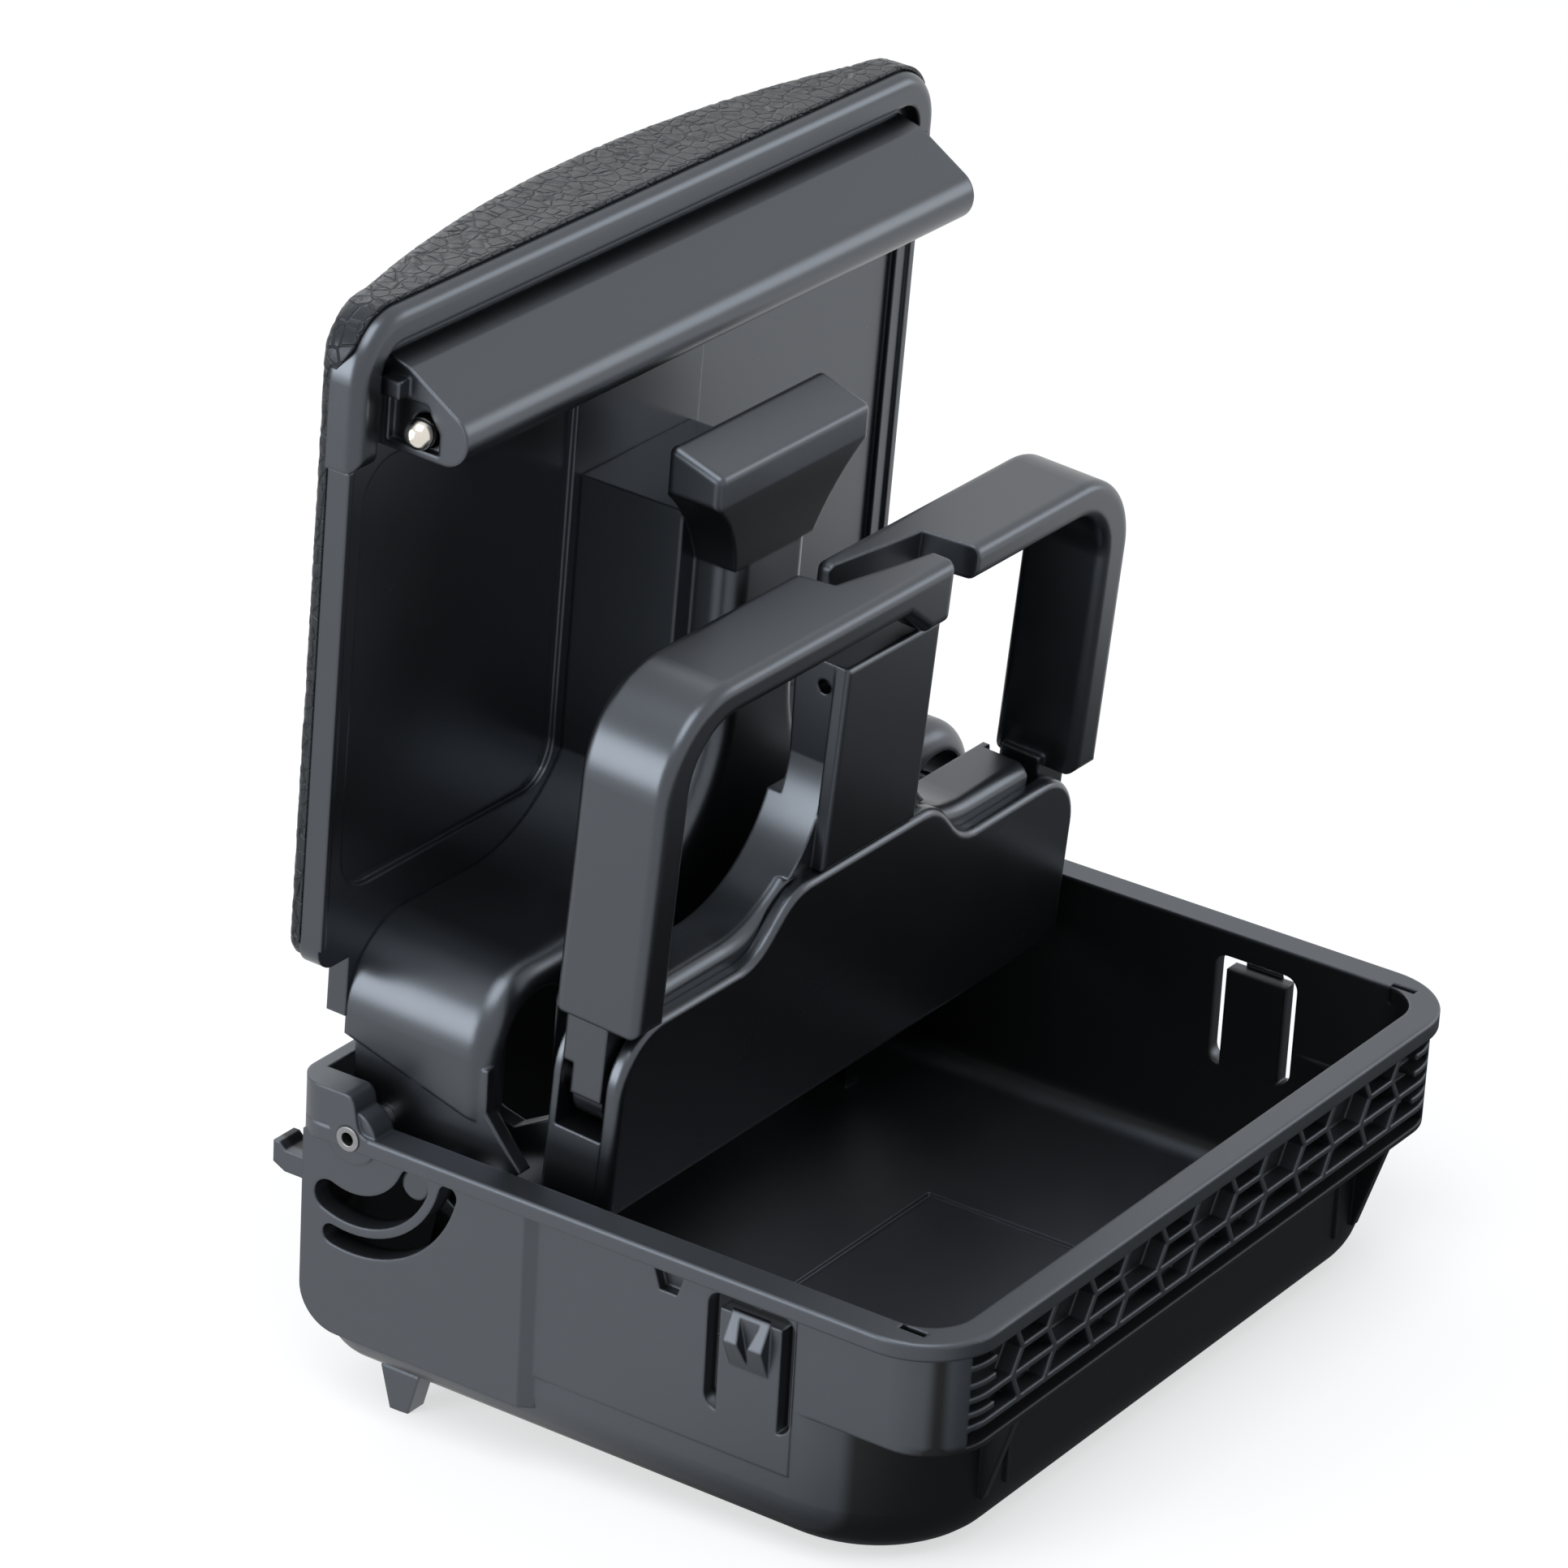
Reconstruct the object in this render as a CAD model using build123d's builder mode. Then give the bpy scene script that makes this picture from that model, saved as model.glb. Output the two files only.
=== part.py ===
"""Rear console cup holder: a tub, a padded lid, and a folding ring frame with two sprung arms."""
import math
import os

from build123d import *

os.makedirs("parts", exist_ok=True)

# Clearances
fit_gap = 0.01
run_gap = 0.06
slide_gap = 0.3
seat_gap = 0.05

# Tub shell
rim_half_x = 75.0
rim_front_y = -66.0
rim_back_y = 52.5
rim_z = 49.0
rim_thick = 2.8
rim_side_lip = 2.6
rim_front_lip = 1.0
rim_back_lip = 0.4
rim_front_radius = 13.0
rim_back_radius = 5.0
wall = 2.8
front_wall = 3.9
lower_z = 29.5
lower_setback = 4.8
lower_front_wall = 1.8
lower_front_radius = 22.0
lower_back_radius = 10.0
ledge_thick = 2.0
floor_thick = 2.0
foot_height = 6.0
bottom_round = 9.0
floor_round = 4.0

# Tub outside
jog_y = 10.0
jog_step = 1.4
jog_slope = 2.2
jog_lift = 7.0
jog_back_step = 0.8
jog_back_round = 7.0
panel_front_y = -38.0
panel_low_z = 18.5
panel_step = 0.2
rim_round = 0.6
corner_rise = 6.3
corner_ramp = 4.5
corner_length_x = 20.0
corner_length_y = 9.5
corner_wall = 2.4
boss_radius = 4.6
boss_step = 0.5
tongue_y = -30.2
tongue_half = 7.7
tongue_top_z = 44.6
tongue_low_z = 25.0
tongue_slot = 2.3
tongue_round = 2.4
hook_top_z = 43.0
hook_peak_z = 38.5
hook_low_z = 33.0
hook_depth = 2.4
hook_half = 3.4
hook_pocket_half = 2.0
hook_pocket_low_z = 34.5
hook_pocket_floor = 0.5
clip_y = -15.4
clip_half = 3.1
clip_low_half = 1.6
clip_depth = 4.6
clip_sink = 1.6
lug_out = 5.8
lug_top_z = 40.2
lug_low_z = 36.6
lug_tip = 2.2
lug_lip = 1.1
lug_thick = 5.0
foot_y = 36.0
foot_half = 3.6
foot_low_half = 1.7
foot_inset = 8.4
foot_thick = 4.0
notch_y = -56.5
notch_half = 2.2
notch_depth = 1.4
notch_drop = 3.0

# Lattice on the front wall
lattice_depth = 3.0
lattice_inset = 6.4
lattice_margin = 0.6
lattice_low_z = 33.4
lattice_mid_z = 38.0
lattice_hex_z = 42.0
lattice_rib = 0.9
lattice_cells = 6
lattice_hex_half = 3.4
lattice_hex_lean = 2.4
fin_levels = (35.6, 40.4, 43.4)
fin_length = 5.0
gusset_inset = 19.4
gusset_thick = 1.6
gusset_low_z = 15.0
gusset_proud = 0.4
edge_rib_inset = 25.1
edge_rib_thick = 0.9

# Floor
floor_strip_half_x = 30.0
floor_strip_front = -50.0
floor_strip_back = 4.0
floor_strip_depth = 0.6

# Pivots: the lid turns on the hinge pins, the ring frame on the frame pins
hinge_y = 42.0
hinge_z = 48.0
frame_y = 32.0
frame_z = 44.0
pin_radius = 2.0
pin_bore = 1.1
lid_travel = 88.0
guide_radius = 12.4
guide_angle = 202.0
guide_pin_radius = 2.4
guide_pin_short = 0.6
relief_radius = 18.3
relief_width = 3.4
relief_angle = 193.0
relief_sweep = 88.0
bracket_gap = 1.5
bracket_thick = 3.5
bracket_radius = 4.2
bracket_front_y = 34.2
bracket_back_y = 44.0
bracket_top_y = 36.6
bracket_neck_y = 30.0
bracket_neck_z = 40.6
bracket_stem_z = 32.0
frame_pin_proud = 0.4
frame_pin_end = 1.0
hinge_pin_grip = 1.5
hinge_pin_proud = 0.2

# Lid
lid_lean = 2.0
lid_face = 8.0
lid_step = 0.6
lid_low = 24.6
lid_top = 128.5
lid_thick = 3.5
lid_top_radius = 8.0
lid_low_radius = 4.0
lid_well_in = 16.5
lid_well_margin = 3.2
lid_well_low = 36.0
lid_well_top = 106.0
lid_well_radius = 7.0
lid_well_depth = 1.0
lid_lip = 1.3
lid_lip_height = 0.5
lid_tab_low = 14.6
lid_tab_inset = 8.4
trim_wall = 1.8
trim_low = 106.7
trim_top = 130.2
trim_band = 5.0
trim_height = 2.0
trim_radius = 9.8
trim_round = 2.3
skin_inset = 0.4
skin_low = 25.0
skin_top = 129.8
skin_edge = 1.8
skin_crown = 13.63
skin_wall = 2.6
skin_rim = 20.0
skin_hollow_edge = 3.0
skin_top_radius = 9.0
skin_low_radius = 5.0
skin_round = 1.2

# Latch bar across the top of the lid
bar_inset = 8.5
bar_low = 108.8
bar_back_top = 123.2
bar_ridge_top = 122.0
bar_ridge = 4.6
bar_brow_top = 117.0
bar_brow = 13.0
bar_nose = 15.4
bar_nose_top = 113.2
bar_chin = 11.5
bar_pocket_half = 24.0
bar_pocket_low = 111.4
bar_pocket_top = 118.6
bar_pocket_depth = 9.0
bar_screw_x = 30.0
bar_screw_up = 114.5
bar_end_back = 1.2
bar_end_low = 110.0
bar_end_front = 10.4
bar_end_mid = 113.4
bar_end_brow = 7.8
bar_end_top = 117.2
bar_end_depth = 1.3
stub_height = 2.6
stub_width = 3.4
stub_length = 2.6
stub_up = 119.2
stub_out = 2.9
latch_up = 112.8
latch_out = 7.3
latch_radius = 2.0
latch_ball = 2.4
latch_reach = 0.5
latch_pin_length = 16.5
latch_spring_room = 12.5
latch_seat_radius = 2.7
latch_seat_depth = 6.0
latch_spring_radius = 1.5
latch_spring_wire = 0.3
latch_spring_pitch = 1.5

# Cradle between the lid and the ring frame
cradle_gap = 3.1
cradle_low = 5.0
cradle_skirt_up = 11.7
cradle_top = 28.6
cradle_depth = 26.5
cradle_wall = 2.4
cradle_corner = 13.0
cradle_round = 4.0
cradle_seat = 26.0
mouth_lip = 4.5
mouth_width = 16.0
mouth_radius = 7.5
post_front_half = 10.5
post_back_half = 14.5
post_overlap = 9.0
post_back_depth = 19.0
head_half = 20.0
head_top_back = 100.0
head_top_front = 97.0
head_low = 92.0
head_neck = 78.0
head_front = 29.0
head_round = 1.2
boss_screw_radius = 3.6
cradle_screw_low = 50.0
cradle_screw_high = 76.0
cradle_boss_depth = 16.6
cheek_inset = 0.7
cheek_thick = 2.7
cheek_points = [
    (6.0, 14.0), (-18.6, 14.0), (-18.6, 6.7), (-22.8, 1.6), (-25.2, -1.1),
    (-22.0, -4.0), (-14.5, -7.0), (-6.0, -7.0), (0.0, -6.5), (6.0, -4.0),
]
cam_offset_y = -5.0
cam_pin_radius = 2.0
cam_pin_reach = 0.6

# Ring frame, measured from a datum below and in front of its pins
frame_base_y = 29.0
frame_base_z = 41.0
frame_lean = 4.0
shell_back = 13.6
shell_front = 23.2
shell_wall = 2.2
shell_lip = 5.4
shell_round = 2.4
shell_gap = 0.6
shell_low = 2.5
shoulder_inset = 11.0
shoulder_up = 37.5
end_top = 34.0
end_radius = 10.0
ring_offset = 2.25
cup_wall_top = 53.0
divider_back = 16.0
divider_low = 43.1
divider_top = 77.6
divider_waist = 11.0
divider_top_half = 12.6
divider_hole_out = 21.4
divider_hole_up = 73.2
divider_hole_radius = 1.2
divider_hole_depth = 3.0
divider_round = 0.8
well_inset = 15.0
cover_thick = 2.5
cover_crown_half = 15.5
cover_crown_up = 42.8
cover_dip_inset = 0.5
cover_dip_up = 33.8
cover_round = 1.2
cover_screw_inset = 5.5
cover_screw_up = 18.0
cover_boss_radius = 3.2
shell_boss_radius = 4.4
shell_boss_front = 17.5
lever_inset = 3.5
lever_thick = 3.0
lever_points = [
    (-16.0, 3.0), (-16.0, 14.5), (-6.0, 9.0), (4.0, 11.5), (11.5, 11.2), (14.5, 4.0),
    (13.0, -5.0), (7.5, -9.8), (2.5, -11.6), (-2.0, -10.4), (-3.2, -6.0), (-8.0, -1.0),
]

# Arms
arm_pivot_inset = 5.5
arm_pivot_up = 22.0
arm_back = 12.6
arm_front = 28.1
arm_proud = 0.8
arm_width = 7.3
arm_low = 35.0
arm_top = 88.8
arm_under = 83.2
arm_outer_radius = 15.0
arm_inner_radius = 9.5
arm_step = 1.5
arm_tip = 6.0
arm_tip_round = 1.2
arm_left_finger = 11.4
arm_left_drop = 4.9
arm_left_joint = 10.0
arm_left_root = 19.7
arm_left_tip = 24.0
arm_right_finger = 5.0
arm_right_joint = 15.8
arm_right_root = 18.4
arm_right_tip = 15.6
arm_round = 1.8
arm_tongue_back = 17.0
arm_tongue_front = 22.4
arm_tongue_near = 2.5
arm_tongue_far = 5.7
arm_leg_back = 15.1
arm_leg_low = 27.0
arm_eye_radius = 5.0
arm_pocket_inset = 12.5
arm_pocket_low = 15.5
arm_pocket_back = 14.8
arm_pin_front = 25.0
arm_spring_radius = 3.2
arm_spring_wire = 0.35
arm_spring_pitch = 0.85
arm_spring_turns = 1.4
arm_spring_back = 15.2

# Screws
screw_radius = 1.5
screw_head_radius = 2.8
screw_head_height = 1.6
screw_hole_gap = 0.1
cradle_screw_length = 14.0
bar_screw_length = 8.0
cover_screw_length = 6.0

# Sizes and planes that follow from the ones above
floor_z = foot_height + floor_thick
rim_under_z = rim_z - rim_thick
wall_half_x = rim_half_x - rim_side_lip
wall_front_y = rim_front_y + rim_front_lip
lower_front_y = wall_front_y + lower_setback
wall_back_y = rim_back_y - rim_back_lip
wall_front_radius = rim_front_radius - rim_side_lip
wall_back_radius = rim_back_radius - rim_back_lip
inner_half_x = wall_half_x - wall
ledge_z = lower_z + ledge_thick
jog_half_x = wall_half_x + jog_step
foot_x = wall_half_x - foot_inset
lattice_half_x = wall_half_x - lattice_inset
lattice_pitch = 2 * lattice_half_x / (lattice_cells + lattice_margin)
fin_in = lattice_half_x - fin_length
gusset_x = wall_half_x - gusset_inset
edge_rib_x = wall_half_x - edge_rib_inset
trim_half_x = rim_half_x
lid_half_x = trim_half_x - trim_wall
lid_wide_half_x = trim_half_x - lid_step
lid_tab_half_x = trim_half_x - lid_tab_inset
lid_well_out = lid_half_x - lid_well_margin
skin_half_x = trim_half_x - skin_inset
bar_half_x = trim_half_x - bar_inset
latch_ball_x = bar_half_x + latch_reach
latch_pin_in = bar_half_x - latch_pin_length
latch_bore_in = latch_pin_in - latch_spring_room
cradle_half_x = inner_half_x - cradle_gap
cheek_out = cradle_half_x - cheek_inset
cheek_in = cheek_out - cheek_thick
guide_pin_end = jog_half_x - guide_pin_short
shell_half_x = cheek_in - shell_gap
lever_out = shell_half_x - lever_inset
lever_in = lever_out - lever_thick
cam_pin_in = lever_in - cam_pin_reach
bracket_out = lever_in - bracket_gap
bracket_in = bracket_out - bracket_thick
frame_pin_in = bracket_in - frame_pin_proud
frame_pin_out = lever_out + frame_pin_end
hinge_pin_in = cheek_in - hinge_pin_grip
hinge_pin_out = rim_half_x + hinge_pin_proud
shoulder_in = shell_half_x - shoulder_inset
end_x = shell_half_x - end_radius
post_top = head_neck + post_overlap
ring_x = shell_half_x / 2 + ring_offset
ring_radius = ring_x - divider_waist
ring_up = shoulder_up + ring_radius
well_half_x = shell_half_x - well_inset
cover_dip_x = ring_x - cover_dip_inset
cover_screw_x = ring_x - cover_screw_inset
arm_out = shell_half_x + arm_proud
arm_in = arm_out - arm_width
arm_pivot_x = shell_half_x - arm_pivot_inset
arm_pocket_in = shell_half_x - arm_pocket_inset
arm_tongue_in = arm_pivot_x - arm_tongue_near
arm_tongue_out = arm_pivot_x + arm_tongue_far
lean = math.radians(lid_lean)
lid_out = (0, math.cos(lean), math.sin(lean))
lid_in = (0, -math.cos(lean), -math.sin(lean))
lid_up = (0, -math.sin(lean), math.cos(lean))
lid_origin = (0, hinge_y + lid_face * lid_out[1], hinge_z + lid_face * lid_out[2])
lid_plane = Plane(origin=lid_origin, x_dir=(1, 0, 0), z_dir=lid_in)
lid_section = Plane(origin=lid_origin, x_dir=(1, 0, 0), z_dir=lid_up)
lid_profile = Plane(origin=lid_origin, x_dir=lid_in, z_dir=(-1, 0, 0))
tilt = math.radians(frame_lean)
frame_front = (0, -math.cos(tilt), -math.sin(tilt))
frame_up = (0, -math.sin(tilt), math.cos(tilt))
frame_base = (0, frame_base_y, frame_base_z)
frame_plane = Plane(origin=frame_base, x_dir=(1, 0, 0), z_dir=frame_front)
frame_section = Plane(origin=frame_base, x_dir=(1, 0, 0), z_dir=frame_up)
frame_profile = Plane(origin=frame_base, x_dir=frame_front, z_dir=(-1, 0, 0))
front_plane = Plane(origin=(0, wall_front_y + lattice_depth, 0), x_dir=(1, 0, 0), z_dir=(0, -1, 0))
cam_reach_y = frame_y - hinge_y
cam_reach_z = frame_z - hinge_z
cam_radius = math.hypot(cam_reach_y, cam_reach_z)
cam_start = math.degrees(math.atan2(-cam_reach_z, -cam_reach_y))
guide_turn = math.radians(guide_angle)
guide_y = hinge_y + guide_radius * math.cos(guide_turn)
guide_z = hinge_z + guide_radius * math.sin(guide_turn)
diagonal = math.sqrt(0.5)


def span(side, inner, outer):
    """Start and length along X of something between two distances from the middle, on one side."""
    return min(side * inner, side * outer), outer - inner


def plan(sketch, side, front, back, front_radius, back_radius):
    """Plan of the tub, drawn in from the rim by the given amounts."""
    low_y = rim_front_y + front
    high_y = rim_back_y - back
    with Locations((0, (low_y + high_y) / 2)):
        Rectangle(2 * (rim_half_x - side), high_y - low_y)
    fillet(sketch.vertices().group_by(Axis.Y)[0], front_radius)
    fillet(sketch.vertices().group_by(Axis.Y)[-1], back_radius)


def disc_along_x(y, z, radius, start, length, mode=Mode.ADD):
    """Round bar along X."""
    with BuildSketch(Plane.YZ.offset(start)) as disc:
        with Locations((y, z)):
            Circle(radius)
    extrude(disc.sketch, amount=length, mode=mode)


def plate_along_x(points, start, length, mode=Mode.ADD):
    """Flat plate drawn in Y and Z, with its thickness along X."""
    with BuildSketch(Plane.YZ.offset(start)) as plate:
        Polygon(*points, align=None)
    extrude(plate.sketch, amount=length, mode=mode)


def arc_slot(y, z, radius, start, sweep, width):
    """Curved slot with round ends, drawn in a sketch of Y and Z."""
    with BuildLine(mode=Mode.PRIVATE) as middle:
        CenterArc((y, z), radius, start, sweep)
    SlotArc(middle.edges()[0], width)


def rib(x0, z0, x1, z1):
    """Thin rib between two points of the front wall, drawn in a sketch of X and Z."""
    with Locations(((x0 + x1) / 2, (z0 + z1) / 2)):
        Rectangle(
            math.hypot(x1 - x0, z1 - z0) + lattice_rib,
            lattice_rib,
            rotation=math.degrees(math.atan2(z1 - z0, x1 - x0)),
        )


def round_bar(plane, x, up, radius, start, length, mode=Mode.ADD):
    """Round bar along the normal of a plane."""
    with BuildSketch(plane.offset(start)) as disc:
        with Locations((x, up)):
            Circle(radius)
    extrude(disc.sketch, amount=length, mode=mode)


# Room inside the tub, with a lower part set back behind the ledge of the front wall
with BuildPart() as tub_inside:
    side_in = rim_side_lip + wall
    back_in = rim_back_lip + wall
    with BuildSketch(Plane.XY.offset(floor_z)) as low_room:
        front_in = rim_front_lip + lower_setback + lower_front_wall
        front_radius = lower_front_radius - lower_front_wall
        plan(low_room, side_in, front_in, back_in, front_radius, lower_back_radius - wall)
    extrude(amount=ledge_z - floor_z)
    fillet(tub_inside.edges().group_by(Axis.Z)[0], floor_round)
    with BuildSketch(Plane.XY.offset(ledge_z)) as high_room:
        front_in = rim_front_lip + front_wall
        plan(high_room, side_in, front_in, back_in, wall_front_radius - wall, rim_back_radius - back_in)
    extrude(amount=rim_z + corner_rise - ledge_z)

# Lattice of the front wall, kept inside the round corners of that wall
with BuildPart() as front_lattice:
    with BuildSketch(front_plane) as lattice:
        for level in (lower_z + lattice_rib / 2, lattice_low_z, lattice_mid_z):
            rib(-lattice_half_x, level, lattice_half_x, level)
        for cell in range(lattice_cells):
            cell_x = (cell - (lattice_cells - 1) / 2) * lattice_pitch
            for way in (-1, 1):
                knee_x = cell_x + way * lattice_hex_half
                rib(knee_x, lattice_hex_z, knee_x + way * lattice_hex_lean, rim_under_z)
                rib(knee_x, lattice_hex_z, knee_x + way * lattice_hex_lean, lattice_mid_z)
                rib(knee_x + way * lattice_hex_lean, lattice_mid_z, knee_x, lattice_low_z)
            rib(cell_x - lattice_hex_half, lattice_hex_z, cell_x + lattice_hex_half, lattice_hex_z)
        for level in fin_levels:
            for way in (-1, 1):
                rib(way * fin_in, level, way * lattice_half_x, level)
    extrude(amount=lattice_depth)
    with BuildSketch(Plane.XY.offset(lower_z)) as lattice_limit:
        plan(lattice_limit, rim_side_lip, rim_front_lip, rim_back_lip, wall_front_radius, wall_back_radius)
    extrude(amount=rim_under_z - lower_z, mode=Mode.INTERSECT)

# Thicker part of the side walls at the hinge end, rounded at its lower back edge
with BuildPart() as jog_block:
    jog_low = foot_height + jog_lift
    jog_back = wall_back_y - jog_back_step
    with BuildSketch(Plane.XY.offset(jog_low)):
        with BuildLine():
            Polyline(
                (0, jog_y - jog_slope),
                (wall_half_x, jog_y - jog_slope),
                (jog_half_x, jog_y),
                (jog_half_x, jog_back),
            )
            Line((jog_half_x, jog_back), (0, jog_back))
            mirror(about=Plane.YZ)
        make_face()
    extrude(amount=rim_under_z - jog_low)
    low_edges = jog_block.edges().group_by(Axis.Z)[0]
    fillet(low_edges.sort_by(Axis.Y)[-1], jog_back_round)

# Tub: one moulding with rim, walls, floor, snap tongues, lattice, feet and frame brackets
with BuildPart() as tub:
    with BuildSketch(Plane.XY.offset(foot_height)) as lower_plan:
        front_in = rim_front_lip + lower_setback
        plan(lower_plan, rim_side_lip, front_in, rim_back_lip, lower_front_radius, lower_back_radius)
    extrude(amount=lower_z - foot_height)
    fillet(tub.edges().group_by(Axis.Z)[0], bottom_round)
    with BuildSketch(Plane.XY.offset(lower_z)) as wall_plan:
        plan(wall_plan, rim_side_lip, rim_front_lip, rim_back_lip, wall_front_radius, wall_back_radius)
    extrude(amount=rim_under_z - lower_z)
    add(jog_block.part)
    with Locations((0, (panel_front_y + jog_y) / 2, (panel_low_z + rim_under_z) / 2)):
        Box(2 * (wall_half_x + panel_step), jog_y - panel_front_y, rim_under_z - panel_low_z)
    with BuildSketch(Plane.XY.offset(rim_under_z)) as rim_plan:
        plan(rim_plan, 0, 0, 0, rim_front_radius, rim_back_radius)
    extrude(amount=rim_thick)
    fillet(tub.faces().sort_by(Axis.Z)[-1].edges(), rim_round)
    with BuildSketch(Plane.XY.offset(rim_z)) as corner_plan:
        plan(corner_plan, 0, 0, 0, rim_front_radius, rim_back_radius)
        plan_low = rim_back_y - corner_length_y
        with Locations((0, (rim_front_y + plan_low) / 2)):
            Rectangle(2 * rim_half_x, plan_low - rim_front_y, mode=Mode.SUBTRACT)
        with Locations((0, rim_back_y)):
            Rectangle(2 * (rim_half_x - corner_length_x), 2 * corner_length_y, mode=Mode.SUBTRACT)
        with Locations((0, plan_low)):
            Rectangle(2 * inner_half_x, 2 * (corner_length_y - corner_wall), mode=Mode.SUBTRACT)
    extrude(amount=corner_rise)
    corner_z = rim_z + corner_rise
    ramp_y = plan_low - corner_ramp
    ramp_back = plan_low + corner_wall
    for side in (-1, 1):
        start, length = span(side, inner_half_x, rim_half_x)
        with BuildSketch(Plane.YZ.offset(start)):
            with BuildLine():
                Spline((ramp_y, rim_z), (plan_low, corner_z), tangents=[(1, 0), (1, 0)])
                Polyline((plan_low, corner_z), (ramp_back, corner_z), (ramp_back, rim_under_z))
                Polyline((ramp_back, rim_under_z), (ramp_y, rim_under_z), (ramp_y, rim_z))
            make_face()
        extrude(amount=length)
        start, length = span(side, inner_half_x, jog_half_x + boss_step)
        disc_along_x(hinge_y, hinge_z, boss_radius, start, length)
    add(tub_inside.part, mode=Mode.SUBTRACT)
    with BuildSketch(Plane.YZ) as side_slots:
        arc_slot(hinge_y, hinge_z, guide_radius, guide_angle, lid_travel, 2 * (guide_pin_radius + slide_gap))
        arc_slot(hinge_y, hinge_z, relief_radius, relief_angle, relief_sweep, relief_width)
        tongue_mid_z = (tongue_top_z + tongue_low_z) / 2
        with Locations((tongue_y, tongue_mid_z)):
            RectangleRounded(2 * tongue_half, tongue_top_z - tongue_low_z, tongue_round)
        with Locations((tongue_y, tongue_mid_z - tongue_slot)):
            Rectangle(2 * (tongue_half - tongue_slot), tongue_top_z - tongue_low_z, mode=Mode.SUBTRACT)
    extrude(amount=rim_half_x, both=True, mode=Mode.SUBTRACT)
    bore_half = rim_half_x + boss_step
    disc_along_x(hinge_y, hinge_z, pin_radius + fit_gap, -bore_half, 2 * bore_half, Mode.SUBTRACT)
    for side in (-1, 1):
        face = wall_half_x
        with BuildSketch(Plane.XZ.offset(-tongue_y)):
            Polygon(
                (side * face, hook_top_z),
                (side * (face + hook_depth), hook_peak_z),
                (side * face, hook_low_z),
                align=None,
            )
        extrude(amount=hook_half, both=True)
        start, length = span(side, face + hook_pocket_floor, face + hook_depth)
        plate_along_x(
            [
                (tongue_y - hook_pocket_half, hook_top_z),
                (tongue_y + hook_pocket_half, hook_top_z),
                (tongue_y, hook_pocket_low_z),
            ],
            start,
            length,
            Mode.SUBTRACT,
        )
        start, length = span(side, face - clip_sink, face + hook_depth)
        clip_top = rim_under_z - panel_step
        plate_along_x(
            [
                (clip_y - clip_half, clip_top),
                (clip_y + clip_half, clip_top),
                (clip_y + clip_low_half, clip_top - clip_depth),
                (clip_y - clip_low_half, clip_top - clip_depth),
            ],
            start,
            length,
            Mode.SUBTRACT,
        )
        start, length = span(side, foot_x, foot_x + foot_thick)
        foot_top = floor_z - floor_thick / 2
        plate_along_x(
            [
                (foot_y + foot_half, foot_top),
                (foot_y - foot_half, foot_top),
                (foot_y - foot_low_half, 0),
                (foot_y + foot_low_half, 0),
            ],
            start,
            length,
        )
        start, length = span(side, wall_half_x - lug_thick, wall_half_x)
        lug_end = wall_back_y + lug_out
        plate_along_x(
            [
                (wall_back_y - wall / 2, lug_top_z),
                (lug_end - lug_tip, lug_top_z),
                (lug_end - lug_lip, lug_top_z + lug_lip),
                (lug_end, lug_top_z + lug_lip),
                (lug_end, lug_low_z + lug_lip),
                (lug_end - lug_tip, lug_low_z),
                (wall_back_y - wall / 2, lug_low_z),
            ],
            start,
            length,
        )
        start, length = span(side, bracket_in, bracket_out)
        plate_along_x(
            [
                (bracket_front_y, floor_z - floor_thick / 2),
                (bracket_back_y, floor_z - floor_thick / 2),
                (bracket_top_y, frame_z),
                (frame_y, frame_z),
                (bracket_neck_y, bracket_neck_z),
                (bracket_front_y, bracket_stem_z),
            ],
            start,
            length,
        )
        disc_along_x(frame_y, frame_z, bracket_radius, start, length)
        disc_along_x(frame_y, frame_z, pin_radius + fit_gap, start, length, Mode.SUBTRACT)
        start, length = span(side, inner_half_x, inner_half_x + notch_depth)
        notch_front = notch_y - notch_half
        notch_back = notch_y + notch_half
        notch_low = rim_z - notch_drop
        plate_along_x(
            [(notch_front, rim_z), (notch_back, rim_z), (notch_back, notch_low), (notch_front, notch_low)],
            start,
            length,
            Mode.SUBTRACT,
        )
        start, length = span(side, gusset_x, gusset_x + gusset_thick)
        rib_back = lower_front_y + lower_front_wall / 2
        rib_front = lower_front_y - gusset_proud
        plate_along_x(
            [(rib_back, lower_z), (wall_front_y, lower_z), (rib_front, gusset_low_z), (rib_back, gusset_low_z)],
            start,
            length,
        )
        start, length = span(side, edge_rib_x, edge_rib_x + edge_rib_thick)
        plate_along_x(
            [(rib_back, lower_z), (rib_front, lower_z), (rib_front, gusset_low_z), (rib_back, gusset_low_z)],
            start,
            length,
        )
    with Locations((0, wall_front_y + lattice_depth / 2, (lower_z + rim_under_z) / 2)):
        Box(2 * lattice_half_x, lattice_depth, rim_under_z - lower_z, mode=Mode.SUBTRACT)
    add(front_lattice.part)
    strip_mid = (floor_strip_front + floor_strip_back) / 2
    with Locations((0, strip_mid, floor_z - floor_strip_depth / 2)):
        Box(2 * floor_strip_half_x, floor_strip_back - floor_strip_front, floor_strip_depth, mode=Mode.SUBTRACT)
tub.part.label = "tub"
export_step(tub.part, "parts/tub.step")


# Steel pins that the lid and the ring frame turn on
def hinge_pin(side):
    """Rolled steel pin, pressed into the boss in the side wall of the tub."""
    with BuildPart() as pin:
        start, length = span(side, hinge_pin_in, hinge_pin_out)
        disc_along_x(hinge_y, hinge_z, pin_radius, start, length)
        disc_along_x(hinge_y, hinge_z, pin_bore, start, length, Mode.SUBTRACT)
    return pin.part


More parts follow.
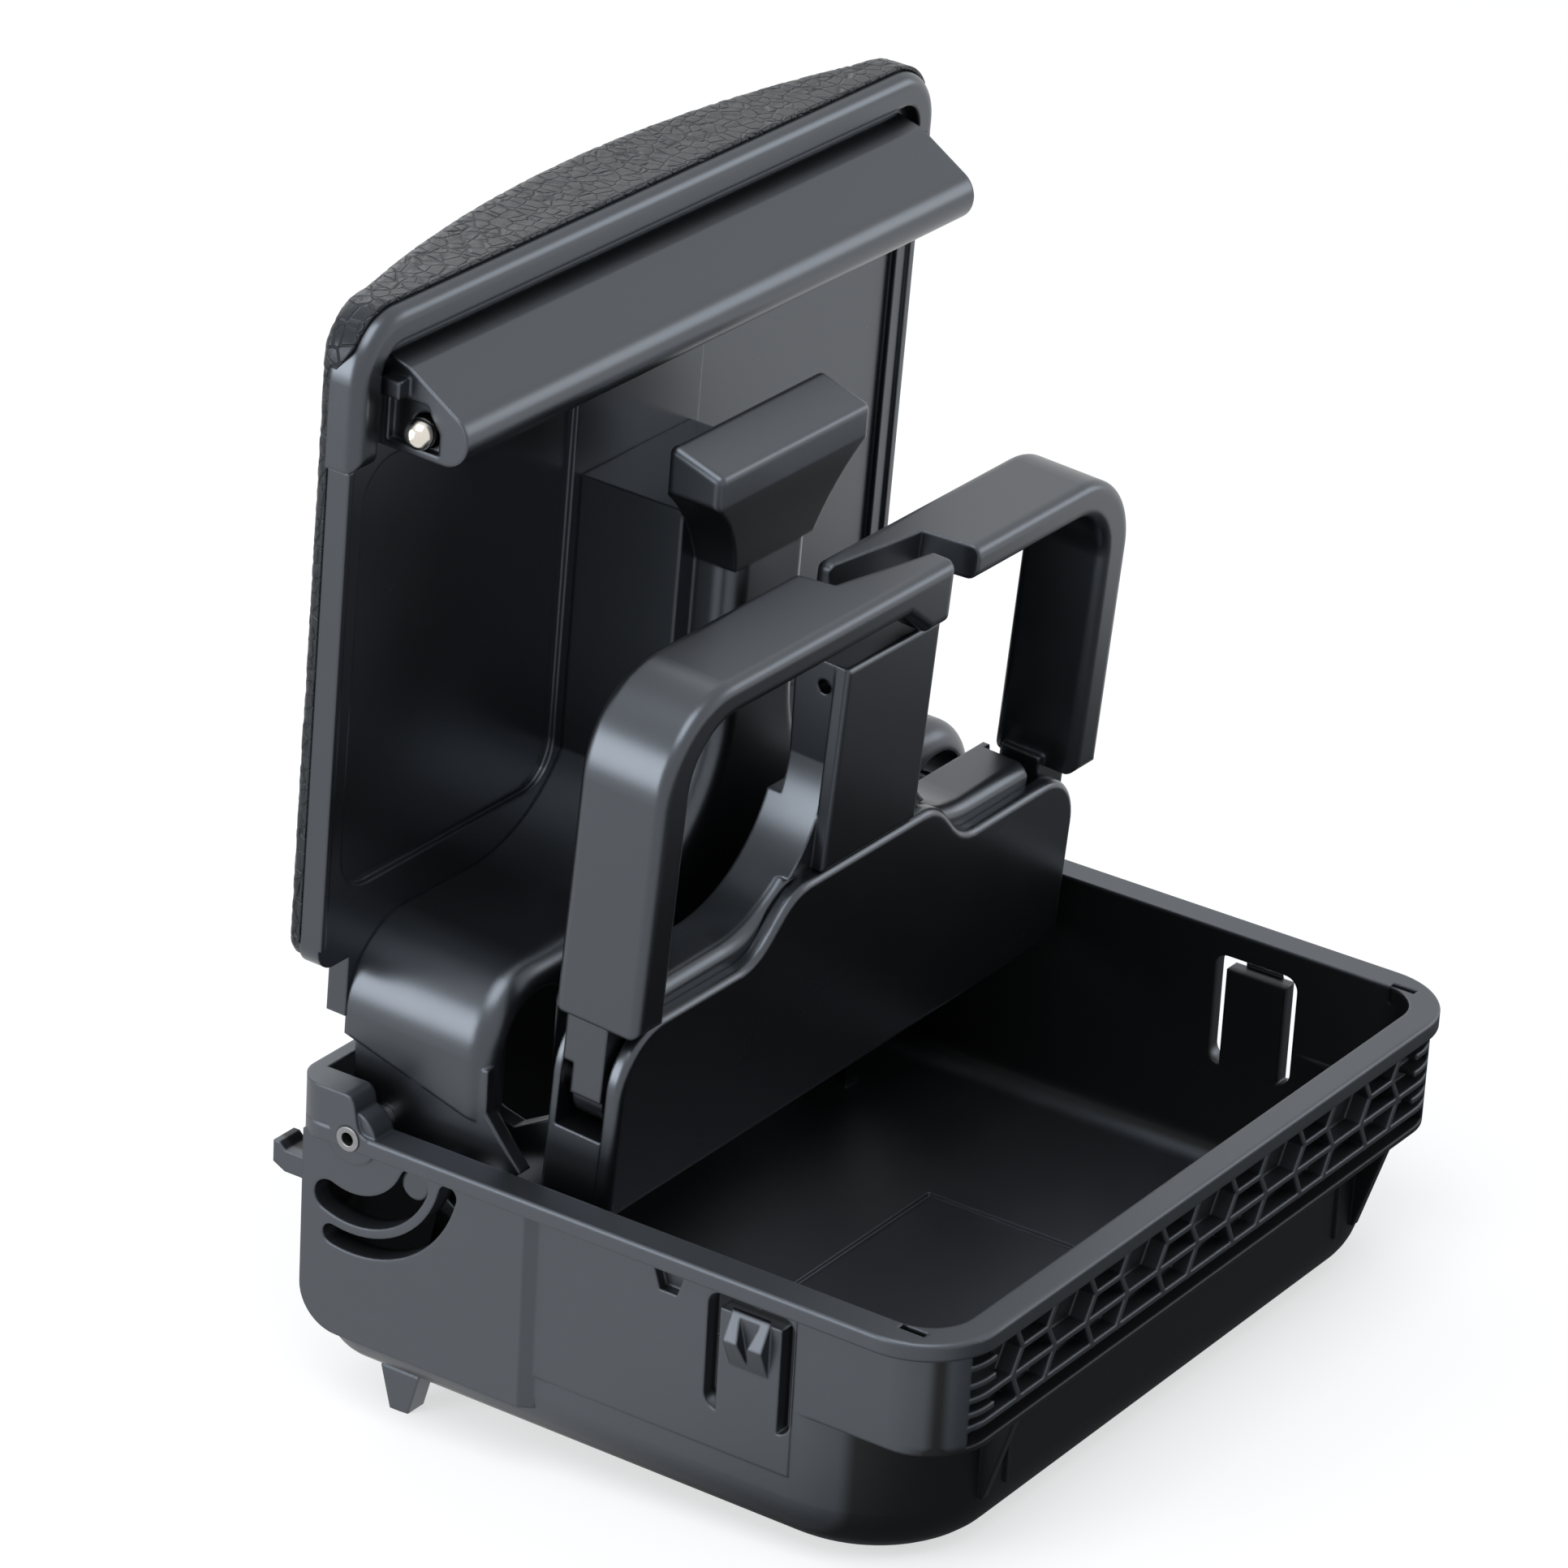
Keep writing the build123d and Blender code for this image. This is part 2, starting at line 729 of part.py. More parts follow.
def frame_pin(side):
    """Steel pin, pressed into the bracket on the floor of the tub."""
    with BuildPart() as pin:
        start, length = span(side, frame_pin_in, frame_pin_out)
        disc_along_x(frame_y, frame_z, pin_radius, start, length)
    return pin.part


for side, word in ((-1, "left"), (1, "right")):
    steel = hinge_pin(side)
    steel.label = f"hinge_pin_{word}"
    export_step(steel, f"parts/hinge_pin_{word}.step")
    steel = frame_pin(side)
    steel.label = f"frame_pin_{word}"
    export_step(steel, f"parts/frame_pin_{word}.step")

# Lid panel: the inner face of the lid, with two shallow wells that the cups stand in
with BuildPart() as lid_panel:
    with BuildSketch(lid_plane.offset(-lid_thick)) as panel_outline:
        with Locations((0, (lid_low + lid_top) / 2)):
            Rectangle(2 * lid_half_x, lid_top - lid_low)
        fillet(panel_outline.vertices().group_by(Axis.Y)[-1], lid_top_radius)
        wide_top = trim_low - seat_gap
        with Locations((0, (lid_low + wide_top) / 2)):
            Rectangle(2 * lid_wide_half_x, wide_top - lid_low)
        fillet(panel_outline.vertices().group_by(Axis.Y)[0], lid_low_radius)
        with Locations((0, (lid_tab_low + lid_low + lid_thick) / 2)):
            Rectangle(2 * lid_tab_half_x, lid_low + lid_thick - lid_tab_low)
    extrude(amount=lid_thick)
    with BuildSketch(lid_plane) as side_lips:
        lip_x = lid_wide_half_x - lid_lip / 2
        lip_low = lid_low + lid_low_radius
        with Locations((lip_x, (lip_low + wide_top) / 2), (-lip_x, (lip_low + wide_top) / 2)):
            Rectangle(lid_lip, wide_top - lip_low)
    extrude(amount=lid_lip_height)
    with BuildSketch(lid_plane) as wells:
        well_middle = (lid_well_in + lid_well_out) / 2
        well_up = (lid_well_low + lid_well_top) / 2
        with Locations((well_middle, well_up), (-well_middle, well_up)):
            RectangleRounded(lid_well_out - lid_well_in, lid_well_top - lid_well_low, lid_well_radius)
    extrude(amount=-lid_well_depth, mode=Mode.SUBTRACT)
    for hole_x, hole_up in (
        (0, cradle_screw_low),
        (0, cradle_screw_high),
        (-bar_screw_x, bar_screw_up),
        (bar_screw_x, bar_screw_up),
    ):
        hole = screw_radius + screw_hole_gap
        round_bar(lid_plane, hole_x, hole_up, hole, -lid_thick, lid_thick, Mode.SUBTRACT)
lid_panel.part.label = "lid_panel"
export_step(lid_panel.part, "parts/lid_panel.step")

# Lid trim: a U shaped bezel over the top edge of the panel
with BuildPart() as lid_trim:
    with BuildSketch(lid_plane.offset(-lid_thick)) as trim_outline:
        with Locations((0, (trim_low + trim_top) / 2)):
            Rectangle(2 * trim_half_x, trim_top - trim_low)
        fillet(trim_outline.vertices().group_by(Axis.Y)[-1], trim_radius)
    extrude(amount=lid_thick + trim_height)
    fillet(lid_trim.faces().sort_by(Axis((0, 0, 0), lid_in))[-1].edges(), trim_round)
    with BuildSketch(lid_plane.offset(-lid_thick)) as panel_seat:
        with Locations((0, (lid_low + lid_top + seat_gap) / 2)):
            Rectangle(2 * (lid_half_x + seat_gap), lid_top + seat_gap - lid_low)
        fillet(panel_seat.vertices().group_by(Axis.Y)[-1], lid_top_radius + seat_gap)
    extrude(amount=lid_thick, mode=Mode.SUBTRACT)
    with BuildSketch(lid_plane) as trim_window:
        with Locations((0, (trim_low + trim_top) / 2 - trim_band)):
            Rectangle(2 * (trim_half_x - trim_band), trim_top - trim_low)
        fillet(trim_window.vertices().group_by(Axis.Y)[-1], trim_radius - trim_band)
    extrude(amount=trim_height, mode=Mode.SUBTRACT)
lid_trim.part.label = "lid_trim"
export_step(lid_trim.part, "parts/lid_trim.step")

# Lid skin: padded cover on the outside of the lid, bowed across its width
with BuildPart() as lid_skin:
    skin_inner = lid_thick
    with BuildSketch(lid_section.offset(skin_low)):
        with BuildLine():
            Line((-skin_half_x, skin_inner), (skin_half_x, skin_inner))
            Line((skin_half_x, skin_inner), (skin_half_x, skin_inner + skin_edge))
            ThreePointArc(
                (skin_half_x, skin_inner + skin_edge),
                (0, skin_inner + skin_crown),
                (-skin_half_x, skin_inner + skin_edge),
            )
            Line((-skin_half_x, skin_inner + skin_edge), (-skin_half_x, skin_inner))
        make_face()
    extrude(amount=skin_top - skin_low)
    across = lid_skin.edges().filter_by(Axis((0, 0, 0), lid_out))
    fillet(across.group_by(Axis((0, 0, 0), lid_up))[-1], skin_top_radius)
    across = lid_skin.edges().filter_by(Axis((0, 0, 0), lid_out))
    fillet(across.group_by(Axis((0, 0, 0), lid_up))[0], skin_low_radius)
    fillet(lid_skin.faces().sort_by(Axis((0, 0, 0), lid_out))[-1].edges(), skin_round)
    with BuildSketch(lid_section.offset(skin_low + skin_wall)):
        hollow_half = skin_half_x - skin_rim
        hollow_edge = skin_inner + skin_hollow_edge
        with BuildLine():
            Line((-hollow_half, skin_inner), (hollow_half, skin_inner))
            Line((hollow_half, skin_inner), (hollow_half, hollow_edge))
            ThreePointArc(
                (hollow_half, hollow_edge),
                (0, skin_inner + skin_crown - skin_wall),
                (-hollow_half, hollow_edge),
            )
            Line((-hollow_half, hollow_edge), (-hollow_half, skin_inner))
        make_face()
    extrude(amount=skin_top - skin_low - 2 * skin_wall, mode=Mode.SUBTRACT)
lid_skin.part.label = "lid_skin"
export_step(lid_skin.part, "parts/lid_skin.step")

# Latch bar: holds the two sprung latch pins
with BuildPart() as latch_bar:
    with BuildSketch(lid_profile):
        with BuildLine():
            Polyline(
                (bar_chin, bar_low),
                (0, bar_low),
                (0, bar_back_top),
                (bar_ridge, bar_ridge_top),
                (bar_brow, bar_brow_top),
            )
            ThreePointArc((bar_brow, bar_brow_top), (bar_nose, bar_nose_top), (bar_chin, bar_low))
        make_face()
    extrude(amount=bar_half_x, both=True)
    with BuildSketch(lid_profile):
        with Locations((bar_pocket_depth / 2, (bar_pocket_low + bar_pocket_top) / 2)):
            Rectangle(bar_pocket_depth, bar_pocket_top - bar_pocket_low)
    extrude(amount=bar_pocket_half, both=True, mode=Mode.SUBTRACT)
    for side in (-1, 1):
        start, length = span(side, latch_bore_in, bar_half_x)
        round_bar(lid_profile, latch_out, latch_up, latch_radius + run_gap, start, length, Mode.SUBTRACT)
        start, length = span(side, bar_half_x - latch_seat_depth, bar_half_x)
        round_bar(lid_profile, latch_out, latch_up, latch_seat_radius, start, length, Mode.SUBTRACT)
        start, length = span(side, bar_half_x - bar_end_depth, bar_half_x)
        with BuildSketch(lid_profile.offset(start)):
            Polygon(
                (bar_end_back, bar_end_low),
                (bar_end_front, bar_end_low),
                (bar_end_front, bar_end_mid),
                (bar_end_brow, bar_end_top),
                (bar_end_back, bar_end_top),
                align=None,
            )
        extrude(amount=length, mode=Mode.SUBTRACT)
        start, length = span(side, bar_half_x, bar_half_x + stub_length)
        with BuildSketch(lid_profile.offset(start)):
            with Locations((stub_out, stub_up)):
                Rectangle(stub_width, stub_height)
        extrude(amount=length)
        screw_x = side * bar_screw_x
        round_bar(lid_plane, screw_x, bar_screw_up, screw_radius + fit_gap, 0, bar_screw_length, Mode.SUBTRACT)
latch_bar.part.label = "latch_bar"
export_step(latch_bar.part, "parts/latch_bar.step")

latch_y = lid_origin[1] + latch_out * lid_in[1] + latch_up * lid_up[1]
latch_z = lid_origin[2] + latch_out * lid_in[2] + latch_up * lid_up[2]


# Latch pins and the springs behind them
def latch_pin(side):
    """Steel pin with a ball end that slides in the latch bar."""
    with BuildPart() as pin:
        with BuildSketch(Plane(origin=(0, latch_y, latch_z), x_dir=(side, 0, 0), z_dir=(0, 0, 1))):
            neck_x = latch_ball_x - math.sqrt(latch_ball**2 - latch_radius**2)
            tip_x = latch_ball_x + latch_ball
            with BuildLine():
                Polyline(
                    (tip_x, 0),
                    (latch_pin_in, 0),
                    (latch_pin_in, latch_radius),
                    (neck_x, latch_radius),
                )
                ThreePointArc((neck_x, latch_radius), (latch_ball_x, latch_ball), (tip_x, 0))
            make_face()
        revolve(axis=Axis((0, latch_y, latch_z), (side, 0, 0)))
    return pin.part


def latch_spring(side):
    """Compression spring between the blind end of the bore and the latch pin."""
    spring_length = latch_pin_in - latch_bore_in - 4 * latch_spring_wire
    with BuildPart() as spring:
        with BuildLine() as coil:
            Helix(
                pitch=latch_spring_pitch,
                height=spring_length,
                radius=latch_spring_radius,
                center=(side * (latch_bore_in + 2 * latch_spring_wire), latch_y, latch_z),
                direction=(side, 0, 0),
            )
        with BuildSketch(Plane(origin=coil.line @ 0, z_dir=coil.line % 0)):
            Circle(latch_spring_wire)
        sweep(path=coil.line, is_frenet=True)
    return spring.part


for side, word in ((-1, "left"), (1, "right")):
    steel = latch_pin(side)
    steel.label = f"latch_pin_{word}"
    export_step(steel, f"parts/latch_pin_{word}.step")
    steel = latch_spring(side)
    steel.label = f"latch_spring_{word}"
    export_step(steel, f"parts/latch_spring_{word}.step")

# Cradle head: the T shaped top of the post, added to the cradle below
with BuildPart() as cradle_head:
    with BuildSketch(lid_plane.offset(post_back_depth)) as head_outline:
        with BuildLine():
            Polyline((0, head_neck), (post_front_half, head_neck))
            ThreePointArc(
                (post_front_half, head_neck),
                (post_front_half + (head_half - post_front_half) / 3, (head_neck + head_low) / 2),
                (head_half, head_low),
            )
            Polyline((head_half, head_low), (head_half, head_top_back), (0, head_top_back))
            mirror(about=Plane.YZ)
        make_face()
    extrude(amount=head_front - post_back_depth)
    with BuildSketch(lid_profile):
        Polygon(
            (post_back_depth, head_top_back),
            (head_front, head_top_front),
            (head_front, head_top_back),
            align=None,
        )
    extrude(amount=head_half, both=True, mode=Mode.SUBTRACT)
    with BuildSketch(lid_profile):
        Polygon((head_front, head_neck), (cradle_depth, head_neck), (head_front, head_low), align=None)
    extrude(amount=head_half, both=True, mode=Mode.SUBTRACT)
    upwards = Axis(lid_origin, lid_up)
    head_edges = cradle_head.edges().filter_by_position(upwards, head_low - fit_gap, head_top_back + fit_gap)
    fillet(head_edges, head_round)

# Cradle: carries the lid on its hinge cheeks and steadies the cups above the lid
with BuildPart() as cradle:
    with BuildSketch(lid_plane) as cradle_outline:
        seat_x = post_front_half + cradle_seat
        seat_up = cradle_top + cradle_seat
        corner_x = cradle_half_x - cradle_corner
        corner_up = cradle_top - cradle_corner
        with BuildLine():
            Polyline((0, post_top), (post_front_half, post_top), (post_front_half, seat_up))
            ThreePointArc(
                (post_front_half, seat_up),
                (seat_x - cradle_seat * diagonal, seat_up - cradle_seat * diagonal),
                (seat_x, cradle_top),
            )
            Line((seat_x, cradle_top), (corner_x, cradle_top))
            ThreePointArc(
                (corner_x, cradle_top),
                (corner_x + cradle_corner * diagonal, corner_up + cradle_corner * diagonal),
                (cradle_half_x, corner_up),
            )
            Polyline((cradle_half_x, corner_up), (cradle_half_x, cradle_low), (0, cradle_low))
            mirror(about=Plane.YZ)
        make_face()
    extrude(amount=cradle_depth)
    front_edges = cradle.faces().sort_by(Axis((0, 0, 0), lid_in))[-1].edges()
    fillet(front_edges.sort_by(Axis((0, 0, 0), lid_up))[1:], cradle_round)
    with BuildSketch(lid_plane) as post_outline:
        with Locations((0, (cradle_top + post_top) / 2)):
            Rectangle(2 * post_back_half, post_top - cradle_top)
    extrude(amount=post_back_depth)
    add(cradle_head.part)
    with BuildSketch(lid_plane):
        offset(cradle_outline.sketch_local, amount=-cradle_wall)
        with Locations((0, cradle_low)):
            Rectangle(2 * (cradle_half_x - cradle_wall), 4 * cradle_wall)
    extrude(amount=cradle_depth - cradle_wall, mode=Mode.SUBTRACT)
    with BuildSketch(lid_plane):
        with Locations((0, (cradle_top + post_top) / 2)):
            Rectangle(2 * (post_back_half - cradle_wall), post_top - cradle_top - 2 * cradle_wall)
    extrude(amount=post_back_depth - cradle_wall, mode=Mode.SUBTRACT)
    with BuildSketch(lid_profile):
        Polygon((0, cradle_low), (cradle_depth, cradle_low), (0, cradle_skirt_up), align=None)
    extrude(amount=cradle_half_x, both=True, mode=Mode.SUBTRACT)
    mouth_x = cradle_half_x - mouth_lip - mouth_width / 2
    mouth_height = cradle_top - mouth_lip
    with BuildSketch(lid_plane.offset(cradle_depth - 2 * cradle_wall)) as mouths:
        with Locations((mouth_x, mouth_height / 2), (-mouth_x, mouth_height / 2)):
            Rectangle(mouth_width, mouth_height)
        fillet(mouths.vertices().group_by(Axis.Y)[-1], mouth_radius)
    extrude(amount=2 * cradle_wall, mode=Mode.SUBTRACT)
    for screw_up in (cradle_screw_low, cradle_screw_high):
        round_bar(lid_plane, 0, screw_up, boss_screw_radius, 0, cradle_depth - cradle_wall)
        round_bar(lid_plane, 0, screw_up, screw_radius + fit_gap, 0, cradle_boss_depth, Mode.SUBTRACT)
    for side in (-1, 1):
        start, length = span(side, cheek_in, cheek_out)
        plate_along_x([(hinge_y + y, hinge_z + z) for y, z in cheek_points], start, length)
        start, length = span(side, cheek_in, guide_pin_end)
        disc_along_x(guide_y, guide_z, guide_pin_radius, start, length)
        start, length = span(side, cam_pin_in, cheek_out)
        disc_along_x(hinge_y + cam_offset_y, hinge_z, cam_pin_radius, start, length)
        start, length = span(side, cheek_in - cradle_wall, cheek_out + cradle_wall)
        disc_along_x(hinge_y, hinge_z, pin_radius + run_gap, start, length, Mode.SUBTRACT)
cradle.part.label = "cradle"
export_step(cradle.part, "parts/cradle.step")

# Ring frame shell: two half round seats, the divider between them and the levers that fold it
with BuildPart() as frame_shell:
    with BuildSketch(frame_plane.offset(shell_back)) as shell_outline:
        with BuildLine():
            wall_x = ring_x - math.sqrt(ring_radius**2 - (ring_up - cup_wall_top) ** 2)
            Polyline((0, cup_wall_top), (wall_x, cup_wall_top))
            ThreePointArc(
                (wall_x, cup_wall_top),
                (ring_x - ring_radius * diagonal, ring_up - ring_radius * diagonal),
                (ring_x, ring_up - ring_radius),
            )
            Polyline((ring_x, ring_up - ring_radius), (shoulder_in, shoulder_up), (end_x, end_top))
            ThreePointArc(
                (end_x, end_top),
                (end_x + end_radius * diagonal, end_top - end_radius + end_radius * diagonal),
                (end_x + end_radius, end_top - end_radius),
            )
            Polyline((shell_half_x, end_top - end_radius), (shell_half_x, shell_low), (0, shell_low))
            mirror(about=Plane.YZ)
        make_face()
    extrude(amount=shell_front - shell_back)
    seat_edges = frame_shell.faces().sort_by(Axis((0, 0, 0), frame_front))[-1].edges()
    upwards = Axis(frame_base, frame_up)
    seat_edges = seat_edges.filter_by_position(upwards, shoulder_up - shell_wall, cup_wall_top - shell_wall)
    fillet(seat_edges, shell_round)
    with BuildSketch(frame_plane.offset(shell_back + shell_wall)):
        offset(shell_outline.sketch_local, amount=-shell_lip)
        with Locations((0, cup_wall_top / 2)):
            Rectangle(2 * well_half_x, 2 * cup_wall_top, mode=Mode.INTERSECT)
    extrude(amount=shell_front - shell_back, mode=Mode.SUBTRACT)
    with BuildSketch(frame_plane.offset(divider_back)) as divider_outline:
        base_x = ring_x - math.sqrt(ring_radius**2 - (ring_up - divider_low) ** 2)
        arc_turn = math.pi + math.asin((ring_up - divider_low) / ring_radius) / 2
        with BuildLine():
            Polyline((0, divider_low), (base_x, divider_low))
            ThreePointArc(
                (base_x, divider_low),
                (ring_x + ring_radius * math.cos(arc_turn), ring_up + ring_radius * math.sin(arc_turn)),
                (divider_waist, ring_up),
            )
            Polyline((divider_waist, ring_up), (divider_top_half, divider_top), (0, divider_top))
            mirror(about=Plane.YZ)
        make_face()
    extrude(amount=shell_front - divider_back)
    with BuildSketch(frame_plane.offset(shell_front)):
        with Locations((0, (divider_low + divider_top) / 2)):
            Rectangle(2 * divider_top_half, divider_top - divider_low)
    extrude(amount=cover_thick)
    fillet(frame_shell.faces().sort_by(Axis((0, 0, 0), frame_front))[-1].edges(), divider_round)
    hole_start = divider_top_half - divider_hole_depth
    round_bar(
        frame_profile,
        divider_hole_out,
        divider_hole_up,
        divider_hole_radius,
        hole_start,
        divider_hole_depth,
        Mode.SUBTRACT,
    )
    for side in (-1, 1):
        pocket_mid = side * (arm_pocket_in + shell_half_x + fit_gap) / 2
        with BuildSketch(frame_plane.offset(arm_pocket_back)):
            with Locations((pocket_mid, (arm_pocket_low + shoulder_up) / 2)):
                Rectangle(shell_half_x + fit_gap - arm_pocket_in, shoulder_up - arm_pocket_low)
        extrude(amount=shell_front - arm_pocket_back, mode=Mode.SUBTRACT)
        pin_x = side * arm_pivot_x
        round_bar(frame_plane, pin_x, arm_pivot_up, pin_radius + fit_gap, shell_back, shell_wall, Mode.SUBTRACT)
        screw_x = side * cover_screw_x
        boss_back = shell_back + shell_wall
        boss_length = shell_boss_front - boss_back
        round_bar(frame_plane, screw_x, cover_screw_up, shell_boss_radius, boss_back, boss_length)
        round_bar(
            frame_plane,
            screw_x,
            cover_screw_up,
            screw_head_radius + screw_hole_gap,
            shell_back,
            screw_head_height,
            Mode.SUBTRACT,
        )
        round_bar(
            frame_plane,
            screw_x,
            cover_screw_up,
            screw_radius + screw_hole_gap,
            shell_back,
            shell_boss_front - shell_back,
            Mode.SUBTRACT,
        )
        start, length = span(side, lever_in, lever_out)
        plate_along_x([(frame_base_y + y, frame_base_z + z) for y, z in lever_points], start, length)
        with BuildSketch(Plane.YZ.offset(start)):
            cam_y = hinge_y + cam_offset_y + cam_reach_y
            cam_z = hinge_z + cam_reach_z
            arc_slot(cam_y, cam_z, cam_radius, cam_start, -lid_travel, 2 * (cam_pin_radius + slide_gap))
            with Locations((frame_y, frame_z)):
                Circle(pin_radius + run_gap)
        extrude(amount=length, mode=Mode.SUBTRACT)
frame_shell.part.label = "frame_shell"
export_step(frame_shell.part, "parts/frame_shell.step")

# Ring frame cover: the front plate, screwed on from behind
with BuildPart() as frame_cover:
    with BuildSketch(frame_plane.offset(shell_front)) as cover_outline:
        turn_x = (cover_crown_half + cover_dip_x) / 2
        turn_up = (cover_crown_up + cover_dip_up) / 2
        with BuildLine():
            Line((0, cover_crown_up), (cover_crown_half, cover_crown_up))
            Spline(
                (cover_crown_half, cover_crown_up),
                (turn_x, turn_up),
                (cover_dip_x, cover_dip_up),
                tangents=[(1, 0), (1, 0)],
            )
            Line((cover_dip_x, cover_dip_up), (end_x, end_top))
            ThreePointArc(
                (end_x, end_top),
                (end_x + end_radius * diagonal, end_top - end_radius + end_radius * diagonal),
                (end_x + end_radius, end_top - end_radius),
            )
            Polyline((shell_half_x, end_top - end_radius), (shell_half_x, shell_low), (0, shell_low))
            mirror(about=Plane.YZ)
        make_face()
    extrude(amount=cover_thick)
    fillet(frame_cover.faces().sort_by(Axis((0, 0, 0), frame_front))[-1].edges(), cover_round)
    for side in (-1, 1):
        screw_x = side * cover_screw_x
        boss_length = shell_front - shell_boss_front
        bore = screw_radius + fit_gap
        round_bar(frame_plane, screw_x, cover_screw_up, cover_boss_radius, shell_boss_front, boss_length)
        round_bar(frame_plane, screw_x, cover_screw_up, bore, shell_boss_front, boss_length, Mode.SUBTRACT)
        pin_x = side * arm_pivot_x
        pin_length = arm_pin_front - shell_front
        pin_bed = pin_radius + fit_gap
        round_bar(frame_plane, pin_x, arm_pivot_up, pin_bed, shell_front, pin_length, Mode.SUBTRACT)
frame_cover.part.label = "frame_cover"
export_step(frame_cover.part, "parts/frame_cover.step")


# Arms: C shaped, sprung inwards, with tips that pass each other at the top
def arm(side, finger_x, tip_drop, joint_x, root_out, tip_out, cut_out):
    """One arm; part of its depth is cut away from the joint to the tip, which leaves a tapered finger."""
    with BuildPart() as body:
        with BuildSketch(frame_plane.offset(arm_back)):
            outer_x = arm_out - arm_outer_radius
            outer_up = arm_top - arm_outer_radius
            inner_x = arm_in - arm_inner_radius
            inner_up = arm_under - arm_inner_radius
            with BuildLine():
                Line((side * arm_out, arm_low), (side * arm_out, outer_up))
                ThreePointArc(
                    (side * arm_out, outer_up),
                    (side * (outer_x + arm_outer_radius * diagonal), outer_up + arm_outer_radius * diagonal),
                    (side * outer_x, arm_top),
                )
                Polyline(
                    (side * outer_x, arm_top),
                    (-side * finger_x, arm_top),
                    (-side * finger_x, arm_under - tip_drop),
                    (-side * (finger_x - arm_tip), arm_under - tip_drop),
                    (-side * (finger_x - arm_tip - tip_drop - arm_round), arm_under),
                    (side * inner_x, arm_under),
                )
                ThreePointArc(
                    (side * inner_x, arm_under),
                    (side * (inner_x + arm_inner_radius * diagonal), inner_up + arm_inner_radius * diagonal),
                    (side * arm_in, inner_up),
                )
                Polyline((side * arm_in, inner_up), (side * arm_in, arm_low), (side * arm_out, arm_low))
            make_face()
        extrude(amount=arm_front - arm_back)
        tip_edges = body.edges().filter_by(Axis((0, 0, 0), frame_front)).sort_by(Axis.X)
        fillet(tip_edges[:2] if side > 0 else tip_edges[-2:], arm_tip_round)
        by_depth = body.faces().sort_by(Axis((0, 0, 0), frame_front))
        fillet(by_depth[0].edges() + by_depth[-1].edges(), arm_round)
        with BuildSketch(frame_section.offset(arm_low)):
            Polygon(
                (side * (joint_x + arm_step), -cut_out),
                (side * joint_x, -root_out),
                (-side * finger_x, -tip_out),
                (-side * arm_out, -tip_out),
                (-side * arm_out, -cut_out),
                align=None,
            )
        extrude(amount=arm_top, mode=Mode.SUBTRACT)
        with BuildSketch(frame_plane.offset(arm_tongue_back)):
            tongue_x = side * (arm_tongue_in + arm_tongue_out) / 2
            with Locations((tongue_x, (arm_pivot_up + arm_low + arm_round) / 2)):
                Rectangle(arm_tongue_out - arm_tongue_in, arm_low + arm_round - arm_pivot_up)
            with Locations((side * arm_pivot_x, arm_pivot_up)):
                Circle(arm_eye_radius)
        extrude(amount=arm_tongue_front - arm_tongue_back)
        with BuildSketch(frame_plane.offset(arm_leg_back)):
            with Locations((tongue_x, (arm_leg_low + arm_low + arm_round) / 2)):
                Rectangle(arm_tongue_out - arm_tongue_in, arm_low + arm_round - arm_leg_low)
        extrude(amount=arm_tongue_front - arm_leg_back)
        round_bar(
            frame_plane,
            side * arm_pivot_x,
            arm_pivot_up,
            pin_radius + run_gap,
            arm_tongue_back,
            arm_tongue_front - arm_tongue_back,
            Mode.SUBTRACT,
        )
    return body.part


def arm_pin(side):
    """Steel pin between the shell and the cover that an arm turns on."""
    with BuildPart() as pin:
        pin_length = arm_pin_front - shell_back
        round_bar(frame_plane, side * arm_pivot_x, arm_pivot_up, pin_radius, shell_back, pin_length)
    return pin.part


def arm_spring(side):
    """Torsion spring round an arm pin, behind the arm."""
    centre = frame_plane.from_local_coords(Vector(side * arm_pivot_x, arm_pivot_up, arm_spring_back))
    with BuildPart() as spring:
        with BuildLine() as coil:
            Helix(
                pitch=arm_spring_pitch,
                height=arm_spring_pitch * arm_spring_turns,
                radius=arm_spring_radius,
                center=tuple(centre),
                direction=frame_front,
            )
        with BuildSketch(Plane(origin=coil.line @ 0, z_dir=coil.line % 0)):
            Circle(arm_spring_wire)
        sweep(path=coil.line, is_frenet=True)
    return spring.part


arm_cuts = {
    -1: (arm_left_finger, arm_left_drop, arm_left_joint, arm_left_root, arm_left_tip, arm_back),
    1: (arm_right_finger, 0, arm_right_joint, arm_right_root, arm_right_tip, arm_front),
}
for side, word in ((-1, "left"), (1, "right")):
    moulding = arm(side, *arm_cuts[side])
    moulding.label = f"arm_{word}"
    export_step(moulding, f"parts/arm_{word}.step")
    steel = arm_pin(side)
    steel.label = f"arm_pin_{word}"
    export_step(steel, f"parts/arm_pin_{word}.step")
    steel = arm_spring(side)
    steel.label = f"arm_spring_{word}"
    export_step(steel, f"parts/arm_spring_{word}.step")


# Screws
def screw(plane, x, up, head_back, length):
    """Round headed screw along the normal of a plane."""
    with BuildPart() as body:
        round_bar(plane, x, up, screw_head_radius, head_back, screw_head_height)
        round_bar(plane, x, up, screw_radius, head_back + screw_head_height, length)
    return body.part


